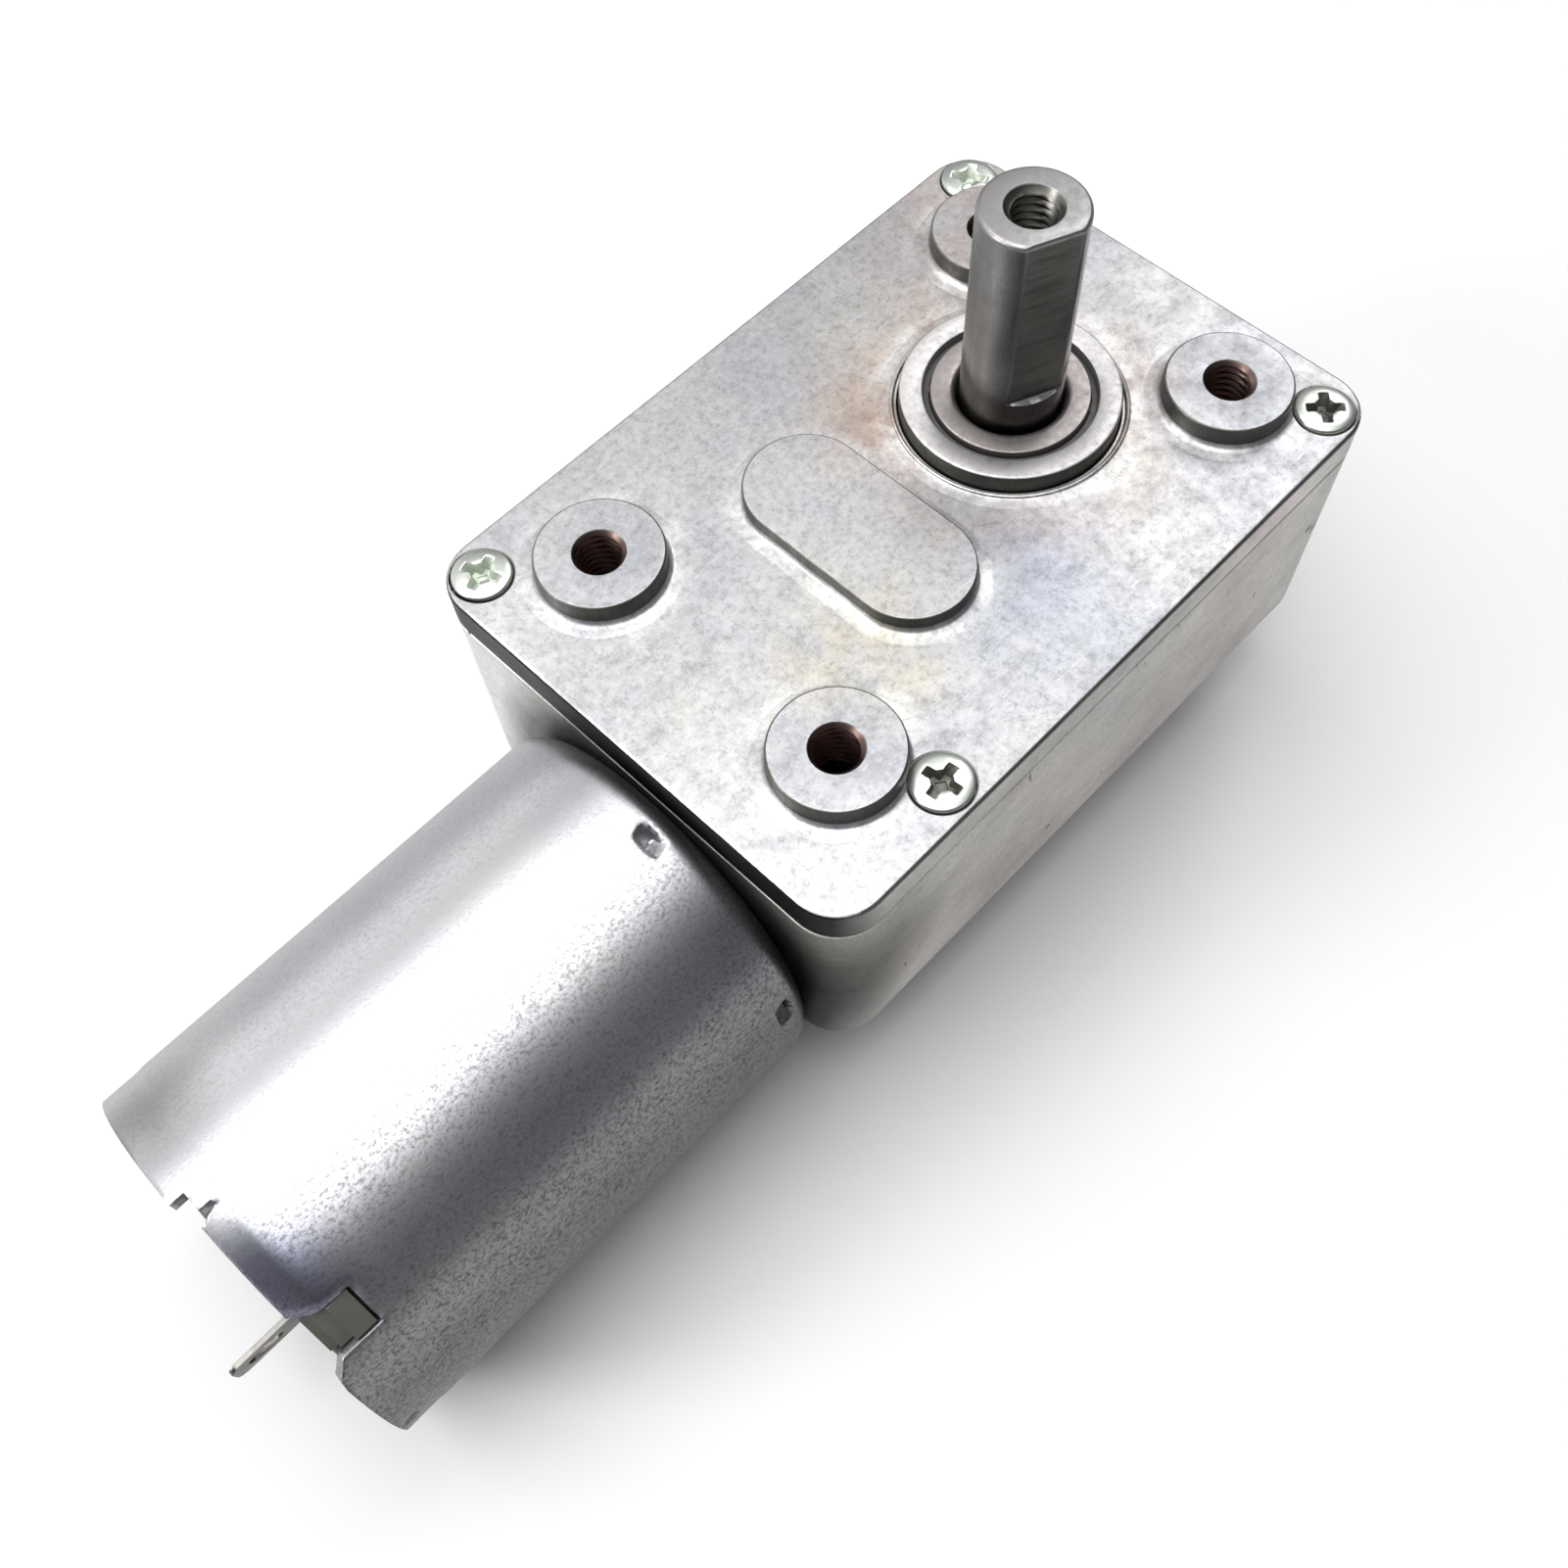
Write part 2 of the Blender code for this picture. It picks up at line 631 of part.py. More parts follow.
def worm():
    """Both threads as one helical sheet, closed at its ends and trimmed square."""
    length = 11.0
    steps = 6
    around = 16
    pitch = WORM_LEAD / WORM_STARTS
    tip = WORM_PITCH_RADIUS + 0.42
    root = WORM_PITCH_RADIUS - 0.6
    marks = ((-0.5, root), (-0.32, root), (-0.11, tip), (0.11, tip), (0.32, root), (0.5, root))
    marks = marks[:-1]
    turns = int(length / pitch) + 5
    rows = []
    for k in range(-turns, turns):
        for shift, radius in marks:
            rows.append(((k + shift) * pitch, radius))
    per_turn = len(marks) * WORM_STARTS
    used = len(rows) - per_turn
    points = []
    faces = []
    for offset, radius in rows:
        for j in range(around):
            angle = 2 * math.pi * j / around
            x = ARBOR_1_X + offset + WORM_LEAD * j / around
            points.append((x, radius * math.cos(angle), radius * math.sin(angle)))
    for k in range(used - 1):
        for j in range(around):
            if j + 1 < around:
                a, b = k * around + j, k * around + j + 1
                c, d = (k + 1) * around + j + 1, (k + 1) * around + j
            else:
                a, b = k * around + j, (k + per_turn) * around
                c, d = (k + 1 + per_turn) * around, (k + 1) * around + j
            faces.append((a, b, c, d))
    first = [j for j in range(around)] + [k * around for k in range(per_turn, 0, -1)]
    last_row = (used - 1) * around
    last = [last_row + j for j in range(around)]
    last += [(used - 1 + k) * around for k in range(per_turn, 0, -1)]
    for loop, flip in ((first, True), (last, False)):
        centre = len(points)
        mean = sum(points[i][0] for i in loop) / len(loop)
        points.append((mean, 0.0, 0.0))
        for i, a in enumerate(loop):
            b = loop[(i + 1) % len(loop)]
            faces.append((b, a, centre) if flip else (a, b, centre))
    used_points = sorted({i for f in faces for i in f})
    index = {old: new for new, old in enumerate(used_points)}
    points = [points[i] for i in used_points]
    faces = [tuple(index[i] for i in f)[::-1] for f in faces]
    screw = make_object("worm", (points, faces), MOTOR_AXIS, "brass")
    low = ARBOR_1_X - length / 2
    trim = along_x(tube(ROTOR_SHAFT_RADIUS + 0.2, 4.0, low, low + length, 28))
    return keep(screw, make_tool("worm_trim", trim, MOTOR_AXIS))


def worm_wheel():
    phase = -math.pi / 2 + math.pi / WHEEL_TEETH
    twist = WORM_LEAD / (2 * math.pi * WORM_PITCH_RADIUS * WHEEL_RADIUS)
    outline = gear_outline(WORM_MODULE, WHEEL_TEETH, phase)
    hole = circle(ARBOR_RADIUS + 0.2, 20)
    shape = prism(outline, MOTOR_Z - 1.6, MOTOR_Z + 1.6, hole, twist, 3)
    return make_object("worm_wheel", shape, ARBOR_1, "gear_steel")


def spur(name, module, teeth, phase, low, high, place, hole_radius, material="gear_steel"):
    shape = prism(gear_outline(module, teeth, phase), low, high, circle(hole_radius, 20))
    return make_object(name, shape, place, material)


def gear_train():
    worm()
    worm_wheel()
    bore = ARBOR_RADIUS + 0.2
    spur("first_pinion", STAGE_2_MODULE, PINION_1_TEETH, PINION_1_PHASE, -11.7, -7.5,
         ARBOR_1, bore)
    spur("second_gear", STAGE_2_MODULE, GEAR_2_TEETH, GEAR_2_PHASE, -9.8, -7.65,
         ARBOR_2, bore)
    spur("second_pinion", STAGE_3_MODULE, PINION_2_TEETH, PINION_2_PHASE, -7.4, -3.3,
         ARBOR_2, bore)
    make_object("wheel_washer", tube(bore, 2.4, -15.9, -15.5, 20), ARBOR_1, "zinc_screw")
    make_object("spacer_sleeve", tube(bore, 2.1, -7.25, -2.8, 20), ARBOR_1, "brass")
    make_object("arbor_pin_1", cylinder(ARBOR_RADIUS, -17.1, -0.7, 20), ARBOR_1, "shaft_steel")
    headed = lathe([(0.0, -10.5), (1.9, -10.5), (1.9, -10.1), (ARBOR_RADIUS, -10.1),
                    (ARBOR_RADIUS, -0.7), (0.0, -0.7)], 20)
    make_object("arbor_pin_2", headed, ARBOR_2, "shaft_steel")


# ---------------------------------------------------------------- motor

def motor_can():
    outer = CAN_RADIUS
    inner = CAN_RADIUS - CAN_WALL
    front = CAN_FRONT
    rear = CAN_REAR
    loop = [(3.1, front), (outer - 1.4, front), (outer - 0.4, front - 0.4),
            (outer, front - 1.4), (outer, rear), (inner, rear), (inner, front - 2.0),
            (inner - 0.9, front - 1.1), (3.1, front - 1.1)]
    can = make_object("motor_can", along_x(lathe(loop[::-1], 56)), MOTOR_AXIS, "plated_steel")
    for side in (-1, 1):
        hole = along_x(drill(1.35, front - 3.0, front + 1.0, 16))
        place = (0.0, MOTOR_Y + side * 8.5, MOTOR_Z)
        cut(can, make_tool(f"can_screw_hole_{side}", hole, place))
    for index, (angle, half, depth) in enumerate(CAN_NOTCHES):
        box = shifted(prism(rounded_box(half, 1.5, 0.1, 1), rear - 1.0, rear + depth), y=outer)
        spin = moved(box, Matrix.Rotation(math.radians(angle), 4, "Z"))
        cut(can, make_tool(f"can_notch_{index}", in_motor(spin), MOTOR_AXIS))
    return can


def motor_screws():
    for index, side in enumerate((-1, 1)):
        high = -HALF_X + WALL + 1.6
        under = -HALF_X + WALL + 0.2
        profile = [(0.0, -25.2), (1.1, -25.2), (1.1, under), (2.2, under), (2.2, high - 0.3),
                   (1.9, high), (0.0, high)]
        place = (0.0, MOTOR_Y + side * 8.5, MOTOR_Z)
        make_object(f"motor_screw_{index + 1}", along_x(lathe(profile, 24)), place,
                    "zinc_screw")


def motor_stator():
    make_object("front_bush", along_x(tube(1.2, 2.85, -26.4, -22.0, 24)), MOTOR_AXIS, "bronze")
    for index, angle in enumerate((90.0, 270.0)):
        block = arc_block(8.9, CAN_RADIUS - CAN_WALL - 0.25, -47.0, -28.0, angle, 136.0)
        make_object(f"magnet_{index + 1}", in_motor(block), MOTOR_AXIS, "ferrite")
    clip = arc_block(10.4, CAN_RADIUS - CAN_WALL - 0.25, -46.0, -29.0, 180.0, 36.0, 6)
    make_object("magnet_spring", in_motor(clip), MOTOR_AXIS, "zinc_screw")
    make_object("rear_bush", along_x(tube(1.2, 2.6, -53.4, -50.8, 24)), MOTOR_AXIS, "bronze")


def armature_outline():
    outline = []
    for pole in range(3):
        for angle, radius in ((-52, 7.0), (-52, 8.2), (-39, 8.2), (-26, 8.2), (-13, 8.2),
                              (0, 8.2), (13, 8.2), (26, 8.2), (39, 8.2), (52, 8.2),
                              (52, 7.0), (35, 6.8)):
            turn = math.radians(120 * pole + angle)
            outline.append((radius * math.cos(turn), radius * math.sin(turn)))
        for x, y in ((6.6, 1.5), (3.0, 1.5)):
            turn = math.radians(120 * pole)
            outline.append((x * math.cos(turn) - y * math.sin(turn),
                            x * math.sin(turn) + y * math.cos(turn)))
        for x, y in ((3.0, -1.5), (6.6, -1.5)):
            turn = math.radians(120 * (pole + 1))
            outline.append((x * math.cos(turn) - y * math.sin(turn),
                            x * math.sin(turn) + y * math.cos(turn)))
        turn = math.radians(120 * (pole + 1) - 35)
        outline.append((6.8 * math.cos(turn), 6.8 * math.sin(turn)))
    return outline


def rotor():
    shaft = cylinder(ROTOR_SHAFT_RADIUS, -53.2, ROTOR_SHAFT_FRONT, 24)
    make_object("rotor_shaft", along_x(shaft), MOTOR_AXIS, "shaft_steel")
    core = prism(armature_outline(), -43.0, -30.0, circle(1.2, 20))
    make_object("armature_core", along_x(core), MOTOR_AXIS, "lamination")
    for pole in range(3):
        ring = prism(rounded_box(3.4, 8.4, 1.5, 2), 3.4, 5.4, rounded_box(1.8, 6.8, 0.3, 1))
        placed = [(z, x, y - 36.5) for x, y, z in ring[0]]
        spin = moved((placed, ring[1]), Matrix.Rotation(math.radians(120 * pole), 4, "Z"))
        make_object(f"coil_{pole + 1}", along_x(spin), MOTOR_AXIS, "copper")
        segment = arc_block(1.72, 2.2, -48.6, -45.5, 120 * pole + 60, 112.0, 8)
        make_object(f"commutator_{pole + 1}", along_x(segment), MOTOR_AXIS, "copper")
    sleeve = tube(1.2, 1.5, -49.4, -45.2, 20)
    make_object("commutator_sleeve", along_x(sleeve), MOTOR_AXIS, "pale_plastic")
    washer = tube(1.2, 2.0, -50.5, -49.7, 20)
    make_object("rotor_washer", along_x(washer), MOTOR_AXIS, "pale_plastic")


def end_cap():
    outer = CAN_RADIUS - CAN_WALL - 0.25
    loop = [(2.8, -53.4), (2.8, -51.2), (9.0, -51.2), (9.0, -48.8), (outer, -48.8),
            (outer, -52.1), (outer - 1.0, -52.1), (outer - 1.0, -53.4)]
    cap = make_object("end_cap", along_x(lathe(loop[::-1], 32)), MOTOR_AXIS, "olive_plastic")
    for sign in (-1, 1):
        slot = rounded_box(0.45, 1.35, 0.1, 1, (TERMINAL_SIDE, sign * TERMINAL_UP))
        tool = in_motor(prism(slot, -54.5, -49.0), TERMINAL_ANGLE)
        cut(cap, make_tool(f"cap_slot_{sign}", tool, MOTOR_AXIS))
    for index, angle in enumerate((-21.95, 158.05)):
        key = shifted(prism(rounded_box(1.15, 0.9, 0.1, 1), -52.05, -50.9), y=10.5)
        spin = moved(key, Matrix.Rotation(math.radians(angle), 4, "Z"))
        add(cap, make_tool(f"cap_key_{index}", in_motor(spin), MOTOR_AXIS))
    return cap


def terminals():
    """Two flat blades in one plane; the second is bridged across to the far brush."""
    top = TERMINAL_UP + 1.0
    foot = TERMINAL_UP - 1.0
    blade = [(TERMINAL_END, foot + 0.5), (TERMINAL_END + 0.5, foot), (-48.2, foot),
             (-48.2, -1.3), (-46.0, -1.3), (-46.0, top), (TERMINAL_END + 0.5, top),
             (TERMINAL_END, top - 0.5)]
    far = [(TERMINAL_END, foot + 0.5), (TERMINAL_END + 0.5, foot), (-46.0, foot),
           (-46.0, top), (TERMINAL_END + 0.5, top), (TERMINAL_END, top - 0.5)]
    eye = [(TERMINAL_END + 0.8 + 1.7 * t, TERMINAL_UP + s) for t, s in
           ((0, -0.35), (1, -0.35), (1.15, 0.0), (1, 0.35), (0, 0.35), (-0.15, 0.0))]
    low = TERMINAL_SIDE - 0.18
    high = TERMINAL_SIDE + 0.18
    near_plate = from_side(prism(blade, low, high, eye))
    make_object("terminal_1", in_motor(near_plate, TERMINAL_ANGLE), MOTOR_AXIS, "brass")
    far_plate = mirrored_up(from_side(prism(far, low, high, eye)))
    second = make_object("terminal_2", in_motor(far_plate, TERMINAL_ANGLE), MOTOR_AXIS,
                         "brass")
    bridge = rounded_box(TERMINAL_SIDE + 0.18, 0.2, 0.05, 1, (0.0, -TERMINAL_UP))
    bridge_tool = in_motor(prism(bridge, -48.2, -46.0), TERMINAL_ANGLE)
    add(second, make_tool("terminal_bridge", bridge_tool, MOTOR_AXIS))
    leaf = [(-48.2, -TERMINAL_UP - 0.15), (-46.0, -TERMINAL_UP - 0.15), (-46.0, 1.3),
            (-48.2, 1.3)]
    leaf_tool = in_motor(from_side(prism(leaf, -high, -low)), TERMINAL_ANGLE)
    add(second, make_tool("terminal_leaf", leaf_tool, MOTOR_AXIS))
    for index, side in enumerate((1, -1)):
        middle = side * (TERMINAL_SIDE - 0.65)
        block = rounded_box(0.3, 1.0, 0.1, 1, (middle, 0.0))
        shape = in_motor(prism(block, -48.1, -46.1), TERMINAL_ANGLE)
        make_object(f"brush_{index + 1}", shape, MOTOR_AXIS, "carbon")


def from_side(shape):
    """A plate drawn as (back, up) and thickened along side."""
    points, faces = shape
    return [(z, y, x) for x, y, z in points], faces


def mirrored_up(shape):
    points, faces = shape
    return [(x, -y, z) for x, y, z in points], faces


def main():
    clear_scene()
    gearbox_housing()
    gearbox_cover()
    cover_screws()
    output_shaft()
    output_gear()
    retaining_clip()
    lower_bush()
    ball_bearing()
    gear_train()
    motor_can()
    motor_screws()
    motor_stator()
    rotor()
    end_cap()
    terminals()


main()
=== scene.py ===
"""Looks for the geared DC motor: detailed shells, threads and procedural metals."""

import math

import bmesh
import bpy
from mathutils import Matrix, Vector


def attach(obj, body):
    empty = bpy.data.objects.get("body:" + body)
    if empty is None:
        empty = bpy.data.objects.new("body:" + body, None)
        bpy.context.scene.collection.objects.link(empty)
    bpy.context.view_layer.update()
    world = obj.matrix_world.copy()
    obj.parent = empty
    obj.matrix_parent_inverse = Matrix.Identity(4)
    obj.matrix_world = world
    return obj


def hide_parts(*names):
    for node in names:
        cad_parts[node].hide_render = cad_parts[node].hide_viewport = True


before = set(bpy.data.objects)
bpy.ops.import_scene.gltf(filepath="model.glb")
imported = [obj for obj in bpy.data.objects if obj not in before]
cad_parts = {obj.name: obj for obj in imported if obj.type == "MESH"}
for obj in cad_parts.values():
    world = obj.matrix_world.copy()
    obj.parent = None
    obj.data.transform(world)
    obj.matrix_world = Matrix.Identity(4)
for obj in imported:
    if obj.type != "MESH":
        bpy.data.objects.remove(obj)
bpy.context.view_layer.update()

MM = 0.001
# where the middle of the cover's face lies in the frame, in millimetres
SHIFT = Vector((17.25, 0.0, 25.6))

# The sizes below are in millimetres from the middle of the cover's face: X runs away from
# the motor and Z up along the output shaft.
HALF_X, HALF_Y, CORNER = 23.0, 16.0, 3.0
COVER_LOW = -2.5
BOSS_R, BOSS_H, BOSS_LOW = 3.75, 1.5, -2.45
BOSS_MIDDLE, BOSS_X, BOSS_Y = 0.75, 16.5, 9.0
BOSSES = [(BOSS_MIDDLE + sx * BOSS_X, sy * BOSS_Y) for sx in (-1, 1) for sy in (-1, 1)]
COVER_SCREWS = ((-20.7, 13.65), (-12.95, -13.8), (20.35, -13.8), (20.7, 13.75))
SCREW_SEAT = 1.92
PAD_X, PAD_Y, PAD_R, PAD_TOP = -4.5, 4.0, 3.65, 1.2
OUT_X = 8.5
SHAFT_R, SHAFT_TOP, SHAFT_LOW = 3.0, 14.8, -16.4
# the flat: its distance from the shaft's middle, its lower end, and its turn in radians
FLAT_AT, FLAT_LOW, FLAT_TURN = 2.5, 3.2, -0.42
BEARING_R, BEARING_LOW, BEARING_TOP = 6.5, -3.8, 1.2
BORE_R = BEARING_R + 0.12

MOTOR_Y, MOTOR_Z = -2.2, -13.6
MOTOR_SCREW_R, MOTOR_SCREW_Y = 1.35, 8.5
CAN_R, CAN_FRONT, CAN_REAR, SHEET = 12.0, -23.25, -53.95, 0.85
# degrees round the motor from +Y towards +Z
TAB_ANGLE, TERMINAL_ANGLE = 113.3, 109.2


# -------- mesh helpers

def circle(radius, count, start=0.0):
    """Points round the origin."""
    step = 2 * math.pi / count
    return [(radius * math.cos(start + i * step), radius * math.sin(start + i * step))
            for i in range(count)]


def rounded_box(half_x, half_y, radius, segments):
    """A rectangle's outline with rounded corners."""
    out = []
    for sx, sy, start in ((1, 1, 0), (-1, 1, 90), (-1, -1, 180), (1, -1, 270)):
        for i in range(segments + 1):
            a = math.radians(start + 90 * i / segments)
            out.append((sx * (half_x - radius) + radius * math.cos(a),
                        sy * (half_y - radius) + radius * math.sin(a)))
    return out


def obround(half_span, radius, cx):
    """The outline of a slot along Y, by half the distance between its ends' middles."""
    out = []
    segments = 32
    for side, start in ((1, 0), (-1, 180)):
        for i in range(segments + 1):
            a = math.radians(start + 180 * i / segments)
            out.append((cx + radius * math.cos(a), side * half_span + radius * math.sin(a)))
    return out


def loft(rings, closed=False):
    """Joins rings of equal length, each a list of points, and fills the ends if it has any."""
    n = len(rings[0])
    points = [p for ring in rings for p in ring]
    faces = []
    last = len(rings) if closed else len(rings) - 1
    for k in range(last):
        a0 = k * n
        b0 = ((k + 1) % len(rings)) * n
        for i in range(n):
            j = (i + 1) % n
            faces.append((a0 + i, a0 + j, b0 + j, b0 + i))
    if not closed:
        faces.append(tuple(range(n - 1, -1, -1)))
        faces.append(tuple((len(rings) - 1) * n + i for i in range(n)))
    return points, faces


def prism(outline, low, high):
    """An outline pulled up along Z."""
    return loft([[(x, y, low) for x, y in outline], [(x, y, high) for x, y in outline]])


def lathe(profile, count=96, closed=True, start=0.0):
    """(radius, height) pairs turned about Z; a closed loop, or open with capped ends."""
    rings = [[(x, y, z) for x, y in circle(r, count, start)] for r, z in profile]
    return loft(rings, closed)


def drill(radius, low, high, count=48, start=0.03):
    """A round cutter along Z."""
    return lathe([(radius, low), (radius, high)], count, False, start)


def arc(cx, cy, radius, a0, a1, steps):
    """Points of a rounding in a profile, by centre, radius and angles in degrees."""
    return [(cx + radius * math.cos(math.radians(a0 + (a1 - a0) * i / steps)),
             cy + radius * math.sin(math.radians(a0 + (a1 - a0) * i / steps)))
            for i in range(steps + 1)]


def thread(radius, depth, low, high, count=48):
    """The wall of a tapped hole, from low to high, as rings of a fine V thread."""
    pitch, per_turn = 0.5, 6
    rings = []
    rows = int((high - low) / pitch * per_turn)
    for k in range(rows + 1):
        z = low + (high - low) * k / rows
        ring = []
        for i in range(count):
            a = 2 * math.pi * i / count
            phase = (z / pitch - i / count) % 1.0
            r = radius + depth * abs(2 * phase - 1)
            ring.append((r * math.cos(a), r * math.sin(a), z))
        rings.append(ring)
    return rings


def place(shape, x, y=0.0, spin=0.0):
    """A shape turned about Z by so many radians and moved across the cover."""
    points, faces = shape
    turn = Matrix.Rotation(spin, 3, "Z")
    return [tuple(turn @ Vector(p) + Vector((x, y, 0.0))) for p in points], faces


def along_x(shape):
    """A shape made round the Z axis, laid round the X axis."""
    points, faces = shape
    return [(z, x, y) for x, y, z in points], faces


def on_motor(shape, side=0.0):
    """A shape made round the X axis, moved to the motor's axis or beside it."""
    points, faces = shape
    return [(x, y + MOTOR_Y + side, z + MOTOR_Z) for x, y, z in points], faces


def in_motor(shape, degrees):
    """(side, up, back) to the gearbox's axes, with up at so many degrees from +Y."""
    a = math.radians(degrees)
    points, faces = shape
    return [(b, u * math.cos(a) - s * math.sin(a), u * math.sin(a) + s * math.cos(a))
            for s, u, b in points], faces


def mirrored(shape):
    """The same shape on the other side of the motor's middle."""
    points, faces = shape
    return [(x, -y, z) for x, y, z in points], faces


def motor_screw_holes(low, high):
    """Cutters for the two screws between the box and the motor."""
    hole = along_x(drill(MOTOR_SCREW_R, low, high, 24, 0.02))
    return [on_motor(hole, side * MOTOR_SCREW_Y) for side in (-1, 1)]


def from_shaft(point):
    """Distance from the output shaft's axis."""
    return math.hypot(point.x - OUT_X, point.y)


def smooth(value, low, high):
    """0 below low, 1 above high and a soft step between them."""
    t = min(1.0, max(0.0, (value - low) / (high - low)))
    return t * t * (3 - 2 * t)


def add(name, data):
    """A new object in the scene."""
    obj = bpy.data.objects.new(name, data)
    bpy.context.scene.collection.objects.link(obj)
    return obj


def mesh_object(name, shapes):
    """One object from several shapes in millimetres about the cover's face."""
    points, faces = [], []
    for shape_points, shape_faces in shapes:
        base = len(points)
        points += [tuple((Vector(p) + SHIFT) * MM) for p in shape_points]
        faces += [tuple(base + i for i in f) for f in shape_faces]
    mesh = bpy.data.meshes.new(name)
    mesh.from_pydata(points, [], faces)
    work = bmesh.new()
    work.from_mesh(mesh)
    bmesh.ops.remove_doubles(work, verts=work.verts, dist=1e-7)
    bmesh.ops.recalc_face_normals(work, faces=work.faces)
    work.to_mesh(mesh)
    work.free()
    return add(name, mesh)


def carve(obj, shapes, operation="DIFFERENCE"):
    """Cuts or adds shapes for good, leaving no helper object behind."""
    for index, shape in enumerate(shapes):
        tool = mesh_object(f"{obj.name}_tool_{index}", [shape])
        modifier = obj.modifiers.new("carve", "BOOLEAN")
        modifier.operation = operation
        modifier.solver = "EXACT"
        modifier.object = tool
        bake(obj)
        bpy.data.objects.remove(tool, do_unlink=True)
    return obj


def join(name, objects):
    """One object from several, without merging their surfaces."""
    points, faces = [], []
    for obj in objects:
        base = len(points)
        points += [tuple(v.co) for v in obj.data.vertices]
        faces += [tuple(base + i for i in p.vertices) for p in obj.data.polygons]
        bpy.data.objects.remove(obj, do_unlink=True)
    mesh = bpy.data.meshes.new(name)
    mesh.from_pydata(points, [], faces)
    return add(name, mesh)


def bake(obj):
    """Applies the object's modifiers."""
    graph = bpy.context.evaluated_depsgraph_get()
    mesh = bpy.data.meshes.new_from_object(obj.evaluated_get(graph))
    obj.modifiers.clear()
    obj.data = mesh


def soften(obj, width, angle):
    """A small rounding on every edge sharper than an angle in degrees."""
    modifier = obj.modifiers.new("soften", "BEVEL")
    modifier.width = width * MM
    modifier.segments = 2
    modifier.limit_method = "ANGLE"
    modifier.angle_limit = math.radians(angle)
    modifier.harden_normals = True
    bake(obj)


def shade(obj, angle):
    """Smooth faces with sharp edges past an angle in degrees, and normals led by the big faces."""
    mesh = obj.data
    mesh.polygons.foreach_set("use_smooth", [True] * len(mesh.polygons))
    mesh.set_sharp_from_angle(angle=math.radians(angle))
    mesh.update()
    even = obj.modifiers.new("even_normals", "WEIGHTED_NORMAL")
    even.mode = "FACE_AREA"
    even.weight = 90
    even.keep_sharp = True
    bake(obj)


def dress(obj, look, body, nodes, angle):
    """Shading, material and body of a piece, and the CAD nodes that it stands in for."""
    shade(obj, angle)
    obj.data.materials.clear()
    obj.data.materials.append(LOOKS[look])
    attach(obj, body)
    if nodes:
        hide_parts(*nodes)


def repaint(obj, look, test):
    """Another material for the faces that test(centre in gearbox millimetres, normal) picks."""
    obj.data.materials.append(LOOKS[look])
    index = len(obj.data.materials) - 1
    for face in obj.data.polygons:
        if test(face.center / MM - SHIFT, face.normal):
            face.material_index = index


# -------- materials

def new_material(name):
    material = bpy.data.materials.new(name)
    material.use_nodes = True
    tree = material.node_tree
    return material, tree, tree.nodes["Principled BSDF"]


def noise(tree, coord, scale, detail=4.0, roughness=0.6, stretch=None, turn=None):
    """Noise whose features are about 1 / scale metres, optionally stretched and turned."""
    vector = coord
    if stretch or turn:
        mapping = tree.nodes.new("ShaderNodeMapping")
        if stretch:
            mapping.inputs["Scale"].default_value = stretch
        if turn:
            mapping.inputs["Rotation"].default_value = turn
        tree.links.new(coord, mapping.inputs["Vector"])
        vector = mapping.outputs["Vector"]
    made = tree.nodes.new("ShaderNodeTexNoise")
    made.inputs["Scale"].default_value = scale
    made.inputs["Detail"].default_value = detail
    made.inputs["Roughness"].default_value = roughness
    tree.links.new(vector, made.inputs["Vector"])
    return made.outputs["Fac"]


def ramp(tree, value, stops):
    """A colour ramp with (level, colour) stops."""
    made = tree.nodes.new("ShaderNodeValToRGB")
    elements = made.color_ramp.elements
    while len(elements) > len(stops):
        elements.remove(elements[-1])
    while len(elements) < len(stops):
        elements.new(0.5)
    for element, (level, colour) in zip(elements, stops):
        element.position = level
        element.color = (*colour, 1.0)
    tree.links.new(value, made.inputs["Fac"])
    return made.outputs["Color"]


def grey(value):
    return (value, value, value)


def greys(tree, value, *stops):
    """A ramp of greys with (level, tone) stops."""
    return ramp(tree, value, [(level, grey(tone)) for level, tone in stops])


def blend(tree, kind, factor, a, b):
    """b over a in a blend mode; each is a socket or a colour, and the factor may be a number."""
    made = tree.nodes.new("ShaderNodeMix")
    made.data_type = "RGBA"
    made.blend_type = kind
    made.clamp_result = True
    if isinstance(factor, float):
        made.inputs[0].default_value = factor
    else:
        tree.links.new(factor, made.inputs[0])
    for socket, value in ((made.inputs[6], a), (made.inputs[7], b)):
        if isinstance(value, tuple):
            socket.default_value = (*value, 1.0)
        else:
            tree.links.new(value, socket)
    return made.outputs[2]


def multiply(tree, colour, tone, strength=1.0):
    return blend(tree, "MULTIPLY", strength, colour, tone)


def bump(tree, shader, heights):
    """Chains bumps, each (height, strength, distance in millimetres)."""
    normal = None
    for height, strength, distance in heights:
        made = tree.nodes.new("ShaderNodeBump")
        made.inputs["Strength"].default_value = strength
        made.inputs["Distance"].default_value = distance * MM
        tree.links.new(height, made.inputs["Height"])
        if normal:
            tree.links.new(normal, made.inputs["Normal"])
        normal = made.outputs["Normal"]
    tree.links.new(normal, shader.inputs["Normal"])


def position(tree):
    """The place on the part, in metres."""
    return tree.nodes.new("ShaderNodeTexCoord").outputs["Object"]


def connect(tree, shader, colour, rough, metallic):
    """Colour and roughness sockets to the shader, with a metallic value."""
    tree.links.new(colour, shader.inputs["Base Color"])
    tree.links.new(rough, shader.inputs["Roughness"])
    shader.inputs["Metallic"].default_value = metallic


def facing(tree, direction, vector):
    """The dot product of a vector socket and a direction."""
    dot = tree.nodes.new("ShaderNodeVectorMath")
    dot.operation = "DOT_PRODUCT"
    tree.links.new(vector, dot.inputs[0])
    dot.inputs[1].default_value = direction
    return dot.outputs["Value"]


